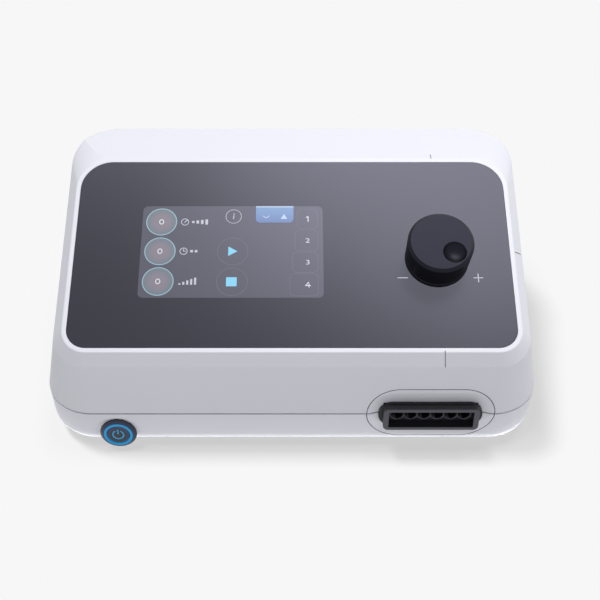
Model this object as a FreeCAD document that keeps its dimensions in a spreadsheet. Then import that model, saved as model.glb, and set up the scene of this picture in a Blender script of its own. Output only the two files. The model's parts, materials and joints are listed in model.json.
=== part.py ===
# A table-top compression therapy pump: a two-part moulded case with a sloping glass panel,
# a rotary knob, a push button, a six-way hose socket and the air unit inside.
# Millimetres, +Z up, the front faces -Y, origin on the table under the middle of the case.
import FreeCAD
import Part
import Sketcher
import math
import os
import re

SIZES = [
    # case
    ("body_width", 286.0, "case across the seam line"),
    ("body_depth", 173.6, "case front to back along the seam line"),
    ("body_corner", 28.0, "plan radius of the case corners at the seam"),
    ("wall", 2.5, "moulded wall"),
    ("foot_height", 2.5, "gap between the table and the base"),
    ("base_height", 27.9, "height of the base tray"),
    ("base_round", 10.0, "radius around the bottom edge"),
    ("seam_gap", 1.2, "shadow gap between base and top"),
    ("tongue_height", 3.0, "locating tongue above the base edge"),
    ("tongue_fit", 0.15, "clearance around the tongue"),
    ("wall_draft", 9.0, "lean of the front wall, degrees"),
    ("back_lean", 14.3, "how far the back wall leans in up to the shelf"),
    # sloping panel
    ("panel_width", 250.0, "control glass, left to right"),
    ("panel_length", 120.5, "control glass, up the slope"),
    ("panel_tilt", 18.8, "slope of the panel, degrees"),
    ("panel_front_height", 75.5, "front edge of the glass above the table"),
    ("panel_setback", 11.1, "front edge of the glass behind the front of the seam"),
    ("panel_front_corner", 11.5, "glass corner radius at the front"),
    ("panel_back_corner", 18.4, "glass corner radius at the back"),
    ("rim_width", 2.5, "moulded land around the glass"),
    ("chamfer_run", 6.0, "chamfer around the land, in the panel's plane"),
    ("chamfer_drop", 7.25, "chamfer around the land, below the panel"),
    ("crease_front_corner", 19.0, "radius of the lower chamfer edge at the front"),
    ("crease_back_corner", 30.0, "radius of the lower chamfer edge at the back"),
    ("shelf_fall", 2.0, "fall of the rear shelf, degrees"),
    ("edge_round", 0.8, "softening of the moulded edges"),
    ("shelf_round", 2.0, "rounding between the rear shelf and the back wall"),
    ("glass_thickness", 3.0, "cover glass"),
    ("glass_fit", 0.15, "gap around the glass"),
    ("recess_width", 204.0, "shallow hollow in the back wall"),
    ("recess_depth", 1.2, "depth of that hollow"),
    # screen
    ("screen_width", 105.4, "visible screen"),
    ("screen_length", 59.7, "visible screen, up the slope"),
    ("screen_side", 90.2, "screen centre from the glass's left edge"),
    ("screen_rise", 59.85, "screen centre up the slope"),
    ("module_margin", 5.0, "display module beyond the visible screen"),
    ("module_thickness", 4.0, "display module"),
    ("bracket_margin", 6.0, "display bracket beyond the module"),
    ("bracket_thickness", 1.5, "floor of the display bracket"),
    # knob and encoder
    ("knob_side", 42.5, "knob axis from the glass's right edge"),
    ("knob_rise", 54.8, "knob axis up the slope"),
    ("knob_radius", 18.5, "knob at its widest"),
    ("knob_foot_radius", 18.2, "knob at its foot"),
    ("knob_height", 21.3, "knob top above the glass"),
    ("knob_gap", 0.8, "knob foot above the glass"),
    ("knob_chamfer", 1.6, "chamfer around the knob's top"),
    ("knob_shell", 3.0, "knob side wall"),
    ("knob_top", 6.0, "knob top wall"),
    ("knob_groove", 0.5, "depth of the groove above the knob's foot"),
    ("knob_groove_rise", 2.4, "groove above the foot"),
    ("knob_groove_width", 1.2, "width of the groove"),
    ("dimple_radius", 7.6, "sphere of the finger dimple"),
    ("dimple_depth", 3.8, "depth of the finger dimple"),
    ("dimple_offset", 9.7, "finger dimple from the knob's axis"),
    ("dimple_angle", -43.0, "direction of the dimple at rest, degrees"),
    ("shaft_radius", 3.0, "encoder shaft"),
    ("shaft_fit", 0.05, "running clearance of the shaft"),
    ("bushing_radius", 4.5, "encoder bushing"),
    ("encoder_width", 13.0, "encoder body"),
    ("encoder_depth", 7.0, "encoder body below the deck"),
    ("encoder_floor", 2.0, "encoder body under its shaft"),
    ("encoder_nut_radius", 6.6, "encoder nut across corners"),
    ("encoder_nut_height", 2.0, "encoder nut"),
    # hose socket
    ("socket_side", 63.9, "hose socket from the right side"),
    ("flange_width", 59.4, "socket flange"),
    ("flange_height", 16.6, "socket flange"),
    ("flange_sink", 1.4, "flange seat below the front wall"),
    ("flange_proud", 0.4, "flange face before the front wall"),
    ("sleeve_width", 54.4, "socket sleeve outside"),
    ("sleeve_height", 15.4, "socket sleeve outside"),
    ("sleeve_wall_x", 3.05, "sleeve side walls"),
    ("sleeve_wall_y", 1.9, "sleeve upper and lower walls"),
    ("sleeve_corner", 3.0, "rounding of the sleeve's outer corners"),
    ("sleeve_depth", 14.0, "sleeve behind the front wall"),
    ("socket_proud", 5.0, "sleeve before the front wall"),
    ("dish_width", 73.3, "moulded dish around the socket"),
    ("dish_height", 35.0, "moulded dish around the socket"),
    ("port_radius", 3.45, "air port"),
    ("port_pitch", 7.65, "air port spacing"),
    ("port_depth", 12.0, "air port depth"),
    ("port_plate", 3.0, "plate of the port block behind its gasket"),
    ("port_fit", 0.1, "clearance of the port block in its sleeve"),
    ("gasket_thickness", 1.0, "gasket behind the sleeve"),
    ("barb_radius", 2.6, "hose barb"),
    ("barb_bore", 1.5, "bore of a hose barb"),
    ("barb_length", 6.0, "hose barb"),
    # power button
    ("button_side", 41.7, "power button from the left side"),
    ("button_drop", 17.4, "power button below the seam"),
    ("button_tilt", 9.0, "upward tilt of the button, degrees"),
    ("bezel_radius", 10.65, "button bezel"),
    ("bezel_face_radius", 8.9, "button bezel at its face"),
    ("bezel_height", 2.3, "bezel before its seat"),
    ("root_radius", 8.0, "wide part of the bezel behind its seat"),
    ("root_depth", 5.0, "wide part of the bezel behind its seat"),
    ("barrel_radius", 5.0, "threaded barrel"),
    ("barrel_length", 15.0, "threaded barrel behind the seat"),
    ("boss_depth", 8.0, "moulded boss behind the bezel"),
    ("nut_radius", 6.4, "barrel nut across corners"),
    ("nut_height", 3.0, "barrel nut"),
    ("lamp_radius", 8.4, "lit ring outside"),
    ("lamp_depth", 1.5, "lit ring in the bezel"),
    ("lamp_crown", 0.1, "crown of the lit ring about the bezel's face"),
    ("cap_radius", 6.6, "button cap"),
    ("cap_fit", 0.3, "gap around the button cap"),
    ("cap_height", 2.1, "cap face before the seat"),
    ("cap_depth", 2.0, "cap behind the seat"),
    ("cap_travel", 2.0, "button travel"),
    ("cap_bevel", 0.4, "bevel around the button cap"),
    ("plunger_radius", 2.0, "button plunger"),
    ("plunger_reach", 1.0, "plunger in the switch at rest"),
    ("switch_radius", 4.5, "switch behind the barrel"),
    ("switch_length", 8.0, "switch behind the barrel"),
    ("symbol_radius", 3.6, "power symbol outside"),
    ("symbol_stroke", 0.9, "power symbol stroke"),
    ("symbol_inlay", 0.3, "power symbol window"),
    # boards
    ("board_thickness", 1.6, "printed circuit boards"),
    ("post_height", 6.0, "posts under the boards"),
    ("post_radius", 3.5, "posts under the boards"),
    ("post_hole", 1.25, "pilot hole in a post"),
    ("board_screw_head", 1.6, "height of a board screw's head"),
    ("screw_play", 0.5, "room under the tip of a screw"),
    ("main_side", 81.0, "main board centre from the left side"),
    ("main_front", 62.0, "main board centre from the front"),
    ("main_width", 108.0, "main board"),
    ("main_depth", 56.0, "main board"),
    ("supply_side", 73.0, "power supply board centre from the left side"),
    ("supply_back", 40.5, "power supply board centre from the back"),
    ("supply_width", 92.0, "power supply board"),
    ("supply_depth", 42.0, "power supply board"),
    ("board_inset", 5.0, "board holes from the board's edges"),
    ("processor_size", 14.0, "processor, each way"),
    ("memory_size", 9.0, "memory chip, each way"),
    ("driver_size", 7.5, "driver chip, each way"),
    ("chip_height", 1.6, "chips above their board"),
    ("plug_long", 26.0, "ribbon plug"),
    ("plug_short", 16.0, "wire plugs"),
    ("plug_depth", 5.5, "plugs, front to back"),
    ("plug_height", 7.0, "plugs above their board"),
    ("sensor_size", 10.5, "pressure sensor, each way"),
    ("sensor_height", 5.0, "pressure sensor"),
    ("nipple_radius", 1.6, "sensor's hose nipple"),
    ("nipple_length", 6.0, "sensor's hose nipple"),
    ("core_width", 30.0, "transformer core"),
    ("core_depth", 26.0, "transformer core"),
    ("core_height", 22.0, "transformer core"),
    ("winding_inset", 4.0, "transformer winding inside its core's ends"),
    ("winding_proud", 3.0, "transformer winding before its core's faces"),
    ("capacitor_radius", 6.5, "capacitor can"),
    ("capacitor_height", 24.0, "capacitor can"),
    ("capacitor_pitch", 18.0, "capacitor spacing"),
    # compressor
    ("pump_side", 81.0, "compressor centre from the right side"),
    ("pump_behind", 62.0, "compressor centre behind the valves"),
    ("pump_width", 64.0, "compressor case"),
    ("pump_depth", 50.0, "compressor case"),
    ("pump_height", 44.0, "compressor case"),
    ("pump_wall", 3.0, "compressor case wall"),
    ("mount_height", 8.0, "rubber mount under the compressor"),
    ("mount_radius", 6.0, "rubber mount under the compressor"),
    ("head_thickness", 12.0, "compressor head"),
    ("head_depth", 46.0, "compressor head"),
    ("head_height", 40.0, "compressor head"),
    ("chamber_radius", 15.0, "air chamber in a head"),
    ("chamber_room", 0.5, "room beyond a diaphragm at the end of its stroke"),
    ("diaphragm_thickness", 2.0, "diaphragm disc"),
    ("diaphragm_gap", 0.4, "gap around a diaphragm disc"),
    ("armature_length", 40.0, "magnet bar of the armature"),
    ("armature_thickness", 10.0, "magnet bar of the armature"),
    ("armature_height", 24.0, "magnet bar of the armature"),
    ("armature_rod", 3.0, "radius of the armature rods"),
    ("coil_overhang", 4.0, "coils above and below the magnet bar"),
    ("armature_travel", 1.5, "armature stroke each way"),
    ("air_gap", 1.5, "gap between magnet bar and coils"),
    # valves
    ("manifold_front", 43.0, "valve manifold centre from the front"),
    ("manifold_depth", 20.0, "valve manifold"),
    ("manifold_width", 64.0, "valve manifold"),
    ("manifold_height", 12.0, "valve manifold"),
    ("valve_width", 12.0, "solenoid valve"),
    ("valve_depth", 16.0, "solenoid valve"),
    ("valve_height", 24.0, "solenoid valve"),
    ("valve_pitch", 15.0, "solenoid valve spacing"),
    ("spout_length", 4.0, "spout on a solenoid valve"),
    ("stand_width", 6.0, "stands under the manifold"),
    ("tube_wall", 1.0, "wall of the air tubes"),
    ("tube_bend", 12.0, "bend radius of the air tubes"),
    ("tube_rise", 12.0, "supply tubes above the compressor's outlets"),
    # fan and vents
    ("fan_side", 53.0, "fan centre from the right side"),
    ("fan_standoff", 13.0, "fan's rear face before the case's back"),
    ("fan_size", 50.0, "fan frame"),
    ("fan_thickness", 10.0, "fan frame"),
    ("fan_bore", 23.0, "fan frame opening radius"),
    ("fan_hub", 11.0, "fan rotor hub radius"),
    ("fan_tip_gap", 1.0, "gap at the blade tips"),
    ("fan_pin", 1.5, "fan pin radius"),
    ("fan_plate", 2.0, "thickness of the fan's motor plate and struts"),
    ("fan_gap", 0.5, "gap between rotor and plate, and before the frame's face"),
    ("blade_width", 8.0, "fan blade"),
    ("blade_thickness", 1.0, "fan blade"),
    ("blade_angle", 38.0, "twist of a fan blade, degrees"),
    ("blade_root", 1.0, "fan blade inside the hub"),
    ("rib_thickness", 2.0, "ribs that hold the fan"),
    ("slot_width", 2.4, "vent slot"),
    ("slot_pitch", 5.0, "vent slot spacing"),
    ("slot_height", 16.0, "vent slot"),
    # mains inlet
    ("inlet_side", 59.0, "mains inlet from the left side"),
    ("inlet_width", 22.0, "inlet body"),
    ("inlet_height", 15.0, "inlet body"),
    ("inlet_mouth_width", 16.6, "inlet opening"),
    ("inlet_mouth_height", 8.8, "inlet opening"),
    ("inlet_depth", 16.0, "inlet behind the back wall"),
    ("inlet_mouth_depth", 14.0, "inlet opening depth"),
    ("inlet_flange", 2.0, "inlet flange around its body"),
    ("inlet_plate", 1.0, "thickness of the inlet flange, let into the wall"),
    ("inlet_pin_radius", 1.2, "inlet pin"),
    ("inlet_pin_pitch", 8.6, "inlet pins, centre to centre"),
    ("inlet_pin_length", 9.0, "inlet pin in the opening"),
    # feet and screws
    ("foot_radius", 8.0, "rubber foot"),
    ("foot_seat", 1.0, "foot recess in the base"),
    ("foot_side", 39.0, "feet from the sides of the case"),
    ("foot_taper", 1.2, "narrowing of a foot towards the table"),
    ("foot_inset", 30.0, "feet from the front and back of the case"),
    ("screw_side", 15.0, "case screws from the sides of the case"),
    ("screw_inset", 22.0, "case screws from the front and back of the case"),
    ("screw_radius", 1.5, "case screw shank"),
    ("screw_head_radius", 2.8, "case screw head"),
    ("screw_head_height", 2.6, "case screw head"),
    ("screw_bite", 10.0, "depth of the pilot hole in the top's post"),
    ("screw_clearance", 0.2, "clearance around a screw"),
    ("case_post_radius", 4.5, "screw posts of the case"),
    ("screw_grip", 10.0, "base post between screw head and top"),
]

# Places in plan that follow from the sizes: from the middle of the case, and from the origin.
PLACES = {
    "front_y": "((socket_reach - body_depth) / 2)",
    "back_y": "(front_y + body_depth)",
    "socket_reach": "(socket_proud * cos(wall_draft) + sleeve_height / 2 * sin(wall_draft))",
    "screen_x": "(screen_side - panel_width / 2)",
    "knob_x": "(panel_width / 2 - knob_side)",
    "socket_x": "(body_width / 2 - socket_side)",
    "button_x": "(button_side - body_width / 2)",
    "main_x": "(main_side - body_width / 2)",
    "main_y": "(front_y + main_front)",
    "supply_x": "(supply_side - body_width / 2)",
    "supply_y": "(back_y - supply_back)",
    "pump_x": "(body_width / 2 - pump_side)",
    "pump_y": "(manifold_y + pump_behind)",
    "manifold_y": "(front_y + manifold_front)",
    "fan_x": "(body_width / 2 - fan_side)",
    "inlet_x": "(inlet_side - body_width / 2)",
    "chamber_depth": "(diaphragm_thickness + 2 * armature_travel + 2 * chamber_room)",
}

PORT_COUNT = 6
VALVE_COUNT = 4
BLADE_COUNT = 7
SLOT_COUNT = 9
SHARP_ANGLE = 40.0
PILL_END = 0.47  # end radius of a pill outline as a share of its height, a little under a half
UPPER_BEND, LOWER_BEND = 2.1, 1.3  # supply tubes' bends before the manifold, in bend radii
ALIASES = {name for name, value, meaning in SIZES}

doc = FreeCAD.newDocument("compression_pump")
sheet = doc.addObject("Spreadsheet::Sheet", "sizes")
for line, (alias, value, meaning) in enumerate(SIZES, 1):
    sheet.set(f"A{line}", meaning)
    sheet.set(f"B{line}", str(value))
    sheet.setAlias(f"B{line}", alias)
doc.recompute()

kept = []


# ---------------------------------------------------------------- expressions and frames

def expression(text):
    """Turn the plain names in a formula into references to the sheet's cells."""
    def cell(word):
        if word[0] in PLACES:
            return expression(PLACES[word[0]])
        return "sizes." + word[0] if word[0] in ALIASES else word[0]
    return re.sub(r"[a-z_]\w*", cell, text)


def measure(text):
    """The number that a formula gives with the present sizes."""
    return float(sheet.evalExpression(expression(text)))


def bind(item, **formulas):
    """Tie an object's properties to formulas over the sheet."""
    for name, formula in formulas.items():
        item.setExpression(name, expression(formula))
    return item


def at(x="0", y="0", z="0", axis="0; 0; 1", angle="0"):
    """The formula of a placement."""
    return f"placement(vector({x}; {y}; {z}); rotation(vector({axis}); {angle}))"


BASE_TOP = "(foot_height + base_height)"
SEAM_Z = f"({BASE_TOP} + seam_gap / 2)"
TOP_BOTTOM = f"({BASE_TOP} + seam_gap)"
FLOOR_Z = "(foot_height + wall)"
PANEL_Y = f"(front_y + panel_setback)"
DECK_DEPTH = "(glass_thickness + wall)"
RIM_HALF = "(panel_width / 2 + rim_width)"
CREASE_OUT = "(rim_width + chamfer_run)"
CREASE_BACK = ("((body_depth - panel_setback - back_lean - chamfer_drop * sin(panel_tilt))"
               " / cos(panel_tilt))")
RIDGE_Y = f"({PANEL_Y} + (panel_length + rim_width) * cos(panel_tilt))"
RIDGE_Z = "(panel_front_height + (panel_length + rim_width) * sin(panel_tilt))"

PORT_REAR = "(sleeve_depth + gasket_thickness)"
TUBE_BEND_Y = (f"(front_y + ({PORT_REAR} + port_plate) * cos(wall_draft)) / 2"
               " + (manifold_y - manifold_depth / 2) / 2")
TUBE_Z = f"({SEAM_Z} - ({TUBE_BEND_Y} - front_y) * tan(wall_draft))"

PANEL = at("0", PANEL_Y, "panel_front_height", "1; 0; 0", "panel_tilt")
KNOB = f"{PANEL} * {at('knob_x', 'knob_rise')}"
SCREEN = f"{PANEL} * {at('screen_x', 'screen_rise')}"
SOCKET = at("socket_x", "front_y", SEAM_Z, "1; 0; 0", "90 - wall_draft")
BUTTON = at("button_x", "front_y", f"{SEAM_Z} - button_drop", "1; 0; 0", "90 - button_tilt")


# ---------------------------------------------------------------- makers

def made(kind, name, placement=None, **formulas):
    """A document object with bound sizes and a bound place."""
    item = bind(doc.addObject(kind, name), **formulas)
    if placement:
        bind(item, Placement=placement)
    return item


def box(name, width, depth, height, place=None, x="0", y="0", z="0"):
    """A box centred on x and y, standing on z, in a frame."""
    corner = at(f"{x} - ({width}) / 2", f"{y} - ({depth}) / 2", z)
    placement = f"{place} * {corner}" if place else corner
    return made("Part::Box", name, placement, Length=width, Width=depth, Height=height)


def rod(name, radius, height, place=None, x="0", y="0", z="0", axis="0; 0; 1", angle="0"):
    """A cylinder that starts at a point and runs along its local Z."""
    start = at(x, y, z, axis, angle)
    placement = f"{place} * {start}" if place else start
    return made("Part::Cylinder", name, placement, Radius=radius, Height=height)


def fuse(name, *pieces):
    item = doc.addObject("Part::MultiFuse", name)
    item.Shapes = list(pieces)
    return item


def cut(name, base, *tools):
    """Take one or several tools away from a base."""
    item = doc.addObject("Part::Cut", name)
    item.Base = base
    item.Tool = tools[0] if len(tools) == 1 else fuse(name + "_tools", *tools)
    return item


def common(name, first, second):
    item = doc.addObject("Part::Common", name)
    item.Base = first
    item.Tool = second
    return item


def group(name, *pieces):
    """Like pieces that stay separate solids in one node."""
    item = doc.addObject("Part::Compound", name)
    item.Links = list(pieces)
    return item


def keep(item, name):
    """Name an object as a finished sub-part."""
    item.Label = name
    kept.append(item)
    return item


def fix(sketch, geometry, point, x, y):
    """Hold a sketch point at two formulas, measured from the sketch's origin."""
    for kind, axis, formula in (("DistanceX", -2, x), ("DistanceY", -1, y)):
        if formula == "0":
            sketch.addConstraint(Sketcher.Constraint("PointOnObject", geometry, point, axis))
            continue
        number = sketch.addConstraint(
            Sketcher.Constraint(kind, -1, 1, geometry, point, measure(formula)))
        bind(sketch, **{f"Constraints[{number}]": formula})


def polygon(sketch, points):
    """Draw a closed outline of straight lines through points given as formulas."""
    corners = [FreeCAD.Vector(measure(x), measure(y), 0) for x, y in points]
    count = len(corners)
    first = sketch.GeometryCount
    for index, corner in enumerate(corners):
        sketch.addGeometry(Part.LineSegment(corner, corners[(index + 1) % count]))
    for index, (x, y) in enumerate(points):
        before = first + (index - 1) % count
        sketch.addConstraint(Sketcher.Constraint("Coincident", before, 2, first + index, 1))
        fix(sketch, first + index, 1, x, y)


def rounded(sketch, half_width, front, back, front_corner, back_corner):
    """Draw a rectangle with rounded corners, centred on the sketch's Y axis."""
    half, low, high = measure(half_width), measure(front), measure(back)
    near, far = measure(front_corner), measure(back_corner)
    up = FreeCAD.Vector(0, 0, 1)
    corners = [
        (half - near, low + near, near, 270), (half - far, high - far, far, 0),
        (far - half, high - far, far, 90), (near - half, low + near, near, 180)]
    arcs = []
    for x, y, radius, start in corners:
        ring = Part.Circle(FreeCAD.Vector(x, y, 0), up, radius)
        arc = Part.ArcOfCircle(ring, math.radians(start), math.radians(start + 90))
        arcs.append(arc)
    first = sketch.GeometryCount
    for index, arc in enumerate(arcs):
        following = arcs[(index + 1) % 4]
        sketch.addGeometry(arc)
        sketch.addGeometry(Part.LineSegment(arc.EndPoint, following.StartPoint))
    for index in range(4):
        arc = first + 2 * index
        side = arc + 1
        following = first + (2 * index + 2) % 8
        upright = index % 2 == 0
        sketch.addConstraint(Sketcher.Constraint("Tangent", arc, 2, side, 1))
        sketch.addConstraint(Sketcher.Constraint("Tangent", side, 2, following, 1))
        sketch.addConstraint(Sketcher.Constraint("Vertical" if upright else "Horizontal", side))
        corner = front_corner if index in (0, 3) else back_corner
        number = sketch.addConstraint(Sketcher.Constraint("Radius", arc, measure(corner)))
        bind(sketch, **{f"Constraints[{number}]": corner})
    sides = [("DistanceX", 1, half_width), ("DistanceY", 3, back),
             ("DistanceX", 5, f"-({half_width})"), ("DistanceY", 7, front)]
    for kind, side, formula in sides:
        number = sketch.addConstraint(
            Sketcher.Constraint(kind, -1, 1, first + side, 1, measure(formula)))
        bind(sketch, **{f"Constraints[{number}]": formula})


def outline(name, placement, *shape):
    """A free sketch of a rounded rectangle."""
    sketch = made("Sketcher::SketchObject", name, placement)
    rounded(sketch, *shape)
    return sketch


def loft(name, lower, upper):
    item = doc.addObject("Part::Loft", name)
    item.Sections = [lower, upper]
    item.Solid = True
    item.Ruled = True
    return item


def prism(name, sketch, height):
    """A sketch drawn out along its own normal."""
    item = made("Part::Extrusion", name, None, LengthFwd=height)
    item.Base = sketch
    item.DirMode = "Normal"
    item.Solid = True
    return item


def body(name, placement=None):
    return made("PartDesign::Body", name, placement)


def sketch_in(owner, name, role="XY_Plane", offset=None):
    """A sketch on one of its own body's origin planes."""
    plane = [item for item in owner.Origin.OriginFeatures if item.Role == role][0]
    sketch = owner.newObject("Sketcher::SketchObject", name)
    sketch.AttachmentSupport = (plane, [""])
    sketch.MapMode = "FlatFace"
    if offset:
        bind(sketch, AttachmentOffset=at(z=offset))
    return sketch


def padded(owner, name, sketch, length):
    pad = owner.newObject("PartDesign::Pad", name)
    pad.Profile = sketch
    bind(pad, Length=length)
    return pad


def turned(name, placement, points):
    """A body turned about its local Z from a half section of radius and height."""
    owner = body(name, placement)
    sketch = sketch_in(owner, name + "_section", "XZ_Plane")
    polygon(sketch, points)
    turn = owner.newObject("PartDesign::Revolution", name + "_turn")
    turn.Profile = sketch
    turn.ReferenceAxis = (sketch, ["V_Axis"])
    turn.Angle = 360
    return owner


def rounded_edges(owner, name, feature, height, radius):
    """Fillet the edges of a feature that lie flat at one height."""
    doc.recompute()
    level = measure(height)
    found = [f"Edge{number}" for number, edge in enumerate(feature.Shape.Edges, 1)
             if abs(edge.BoundBox.ZMin - level) < 0.01 and abs(edge.BoundBox.ZMax - level) < 0.01]
    fillet = owner.newObject("PartDesign::Fillet", name)
    fillet.Base = (feature, found)
    bind(fillet, Radius=radius)
    return fillet


def meeting_angle(shape, edge):
    """The angle in degrees between the two faces that meet at an edge."""
    middle = edge.valueAt((edge.FirstParameter + edge.LastParameter) / 2)
    normals = [face.normalAt(*face.Surface.parameter(middle))
               for face in shape.ancestorsOfType(edge, Part.Face)]
    return math.degrees(normals[0].getAngle(normals[-1]))


def softened(name, base):
    """Round the sharp moulded edges above the seam: soft behind the rear shelf, crisp elsewhere."""
    doc.recompute()
    shape = base.Shape
    crisp, soft = measure("edge_round"), measure("shelf_round")
    rounds = []
    for number, edge in enumerate(shape.Edges, 1):
        touches_seam = edge.BoundBox.ZMin < measure(TOP_BOTTOM) + crisp
        if touches_seam or meeting_angle(shape, edge) < SHARP_ANGLE:
            continue
        radius = soft if edge.CenterOfMass.y > 0 else crisp
        rounds.append((number, radius, radius))
    item = doc.addObject("Part::Fillet", name)
    item.Base = base
    item.Edges = rounds
    return item


def case_outline(inset="0"):
    """The plan of the case at the seam, drawn in by an inset."""
    corner = f"body_corner - {inset}"
    return (f"body_width / 2 - {inset}", f"front_y + {inset}", f"back_y - {inset}", corner, corner)


def centred(width, height, corner):
    """A rounded rectangle centred on its sketch's origin."""
    return (f"{width} / 2", f"-{height} / 2", f"{height} / 2", corner, corner)


def corners_of(side_inset, inset):
    """The four places that a case corner detail takes, measured in from the case's sides."""
    return [(f"{side}(body_width / 2 - {side_inset})", y) for side in ("-", "")
            for y in (f"(front_y + {inset})", f"(back_y - {inset})")]


def board_holes(prefix):
    """The places of a board's four fixing holes."""
    return [(f"({prefix}_x {a} ({prefix}_width / 2 - board_inset))",
             f"({prefix}_y {b} ({prefix}_depth / 2 - board_inset))") for a in "+-" for b in "+-"]


# ---------------------------------------------------------------- case

def socket_opening(name):
    """The dish around the hose socket and the hole that its sleeve passes through."""
    rim = outline(name + "_rim", f"{SOCKET} * {at(z='flange_proud')}",
                  *centred("dish_width", "dish_height", f"dish_height * {PILL_END}"))
    seat = outline(name + "_seat", f"{SOCKET} * {at(z='-flange_sink')}",
                   *centred("flange_width", "flange_height", f"flange_height * {PILL_END}"))
    dish = loft(name + "_dish", seat, rim)
    hole = box(name + "_hole", "sleeve_width", "sleeve_height", "sleeve_depth + socket_proud",
               SOCKET, z="-sleeve_depth")
    return [dish, hole]


def slots(name, x, z, tilt="0"):
    """A row of upright vent slots through the back wall."""
    row = []
    for index in range(SLOT_COUNT):
        place = at(f"{x} + ({index} - {SLOT_COUNT // 2}) * slot_pitch", "back_y", z, "1; 0; 0", tilt)
        row.append(box(f"{name}_{index + 1}", "slot_width", "8 * wall", "slot_height", place))
    return row


def make_base():
    """The base tray with its posts, ribs, seats and openings."""
    tray = body("base_tray")
    plan = sketch_in(tray, "base_plan", offset="foot_height")
    rounded(plan, *case_outline())
    block = padded(tray, "base_block", plan, "base_height")
    rounded_edges(tray, "base_edge", block, "foot_height", "base_round")
    tongue = sketch_in(tray, "tongue_plan", offset=f"{BASE_TOP} - wall")
    rounded(tongue, *case_outline("(wall / 2 + tongue_fit)"))
    padded(tray, "tongue", tongue, "tongue_height + wall")
    room = body("base_room")
    inside = sketch_in(room, "base_inside", offset=FLOOR_Z)
    rounded(inside, *case_outline("wall"))
    space = padded(room, "base_space", inside, "base_height + tongue_height - wall")
    rounded_edges(room, "base_inner_edge", space, FLOOR_Z, "base_round - wall")

    added = [cut("base_shell", tray, room)]
    taken = []
    for number, (x, y) in enumerate(corners_of("screw_side", "screw_inset"), 1):
        added.append(rod(f"base_post_{number}", "case_post_radius", f"{TOP_BOTTOM} - {FLOOR_Z} + wall / 2",
                         x=x, y=y, z=f"{FLOOR_Z} - wall / 2"))
        taken.append(rod(f"base_screw_hole_{number}", "screw_radius + screw_clearance", TOP_BOTTOM, x=x, y=y))
        taken.append(rod(f"base_counterbore_{number}", "screw_head_radius + screw_clearance",
                         f"{TOP_BOTTOM} - screw_grip", x=x, y=y))
    for number, (x, y) in enumerate(corners_of("foot_side", "foot_inset"), 1):
        taken.append(rod(f"foot_recess_{number}", "foot_radius", "foot_height + foot_seat", x=x, y=y))
    for prefix in ("main", "supply"):
        for number, (x, y) in enumerate(board_holes(prefix), 1):
            added.append(rod(f"{prefix}_post_{number}", "post_radius", "post_height + wall / 2",
                             x=x, y=y, z=f"{FLOOR_Z} - wall / 2"))
            taken.append(rod(f"{prefix}_pilot_{number}", "post_hole", "post_height",
                             x=x, y=y, z=FLOOR_Z))
    fan_y = f"(back_y - fan_standoff - fan_thickness / 2)"
    for side in "+-":
        added.append(box("fan_rib_left" if side == "-" else "fan_rib_right", "rib_thickness",
                         "fan_thickness", "fan_size / 2", x=f"fan_x {side} (fan_size + rib_thickness) / 2",
                         y=fan_y, z=f"{FLOOR_Z} - wall / 2"))
    boss = rod("button_boss", "bezel_radius", "boss_depth", BUTTON, z="-boss_depth")
    added.append(boss)
    taken.append(rod("button_hole", "barrel_radius", "boss_depth + wall", BUTTON, z="-boss_depth - wall / 2"))
    taken.append(rod("button_well", "root_radius", "root_depth + bezel_height", BUTTON, z="-root_depth"))
    taken.append(rod("button_seat", "bezel_radius + wall", "bezel_height + wall", BUTTON))
    taken.append(box("inlet_hole", "inlet_width", "4 * wall", "inlet_height", x="inlet_x", y="back_y",
                     z=f"{SEAM_Z} / 2 - inlet_height / 2"))
    taken.append(box("inlet_seat", "inlet_width + 2 * inlet_flange", "2 * inlet_plate",
                     "inlet_height + 2 * inlet_flange", x="inlet_x", y="back_y",
                     z=f"{SEAM_Z} / 2 - inlet_height / 2 - inlet_flange"))
    taken += slots("base_slot", "fan_x", f"{BASE_TOP} / 2 - slot_height / 2 + seam_gap")
    for index in range(SLOT_COUNT):
        taken.append(box(f"under_slot_{index + 1}", "slot_width", "pump_depth / 2", "4 * wall",
                         x=f"pump_x + ({index} - {SLOT_COUNT // 2}) * slot_pitch", y="pump_y"))
    taken += socket_opening("base_socket")
    keep(cut("base_housing", fuse("base_solid", *added), *taken), "base_housing")


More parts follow.
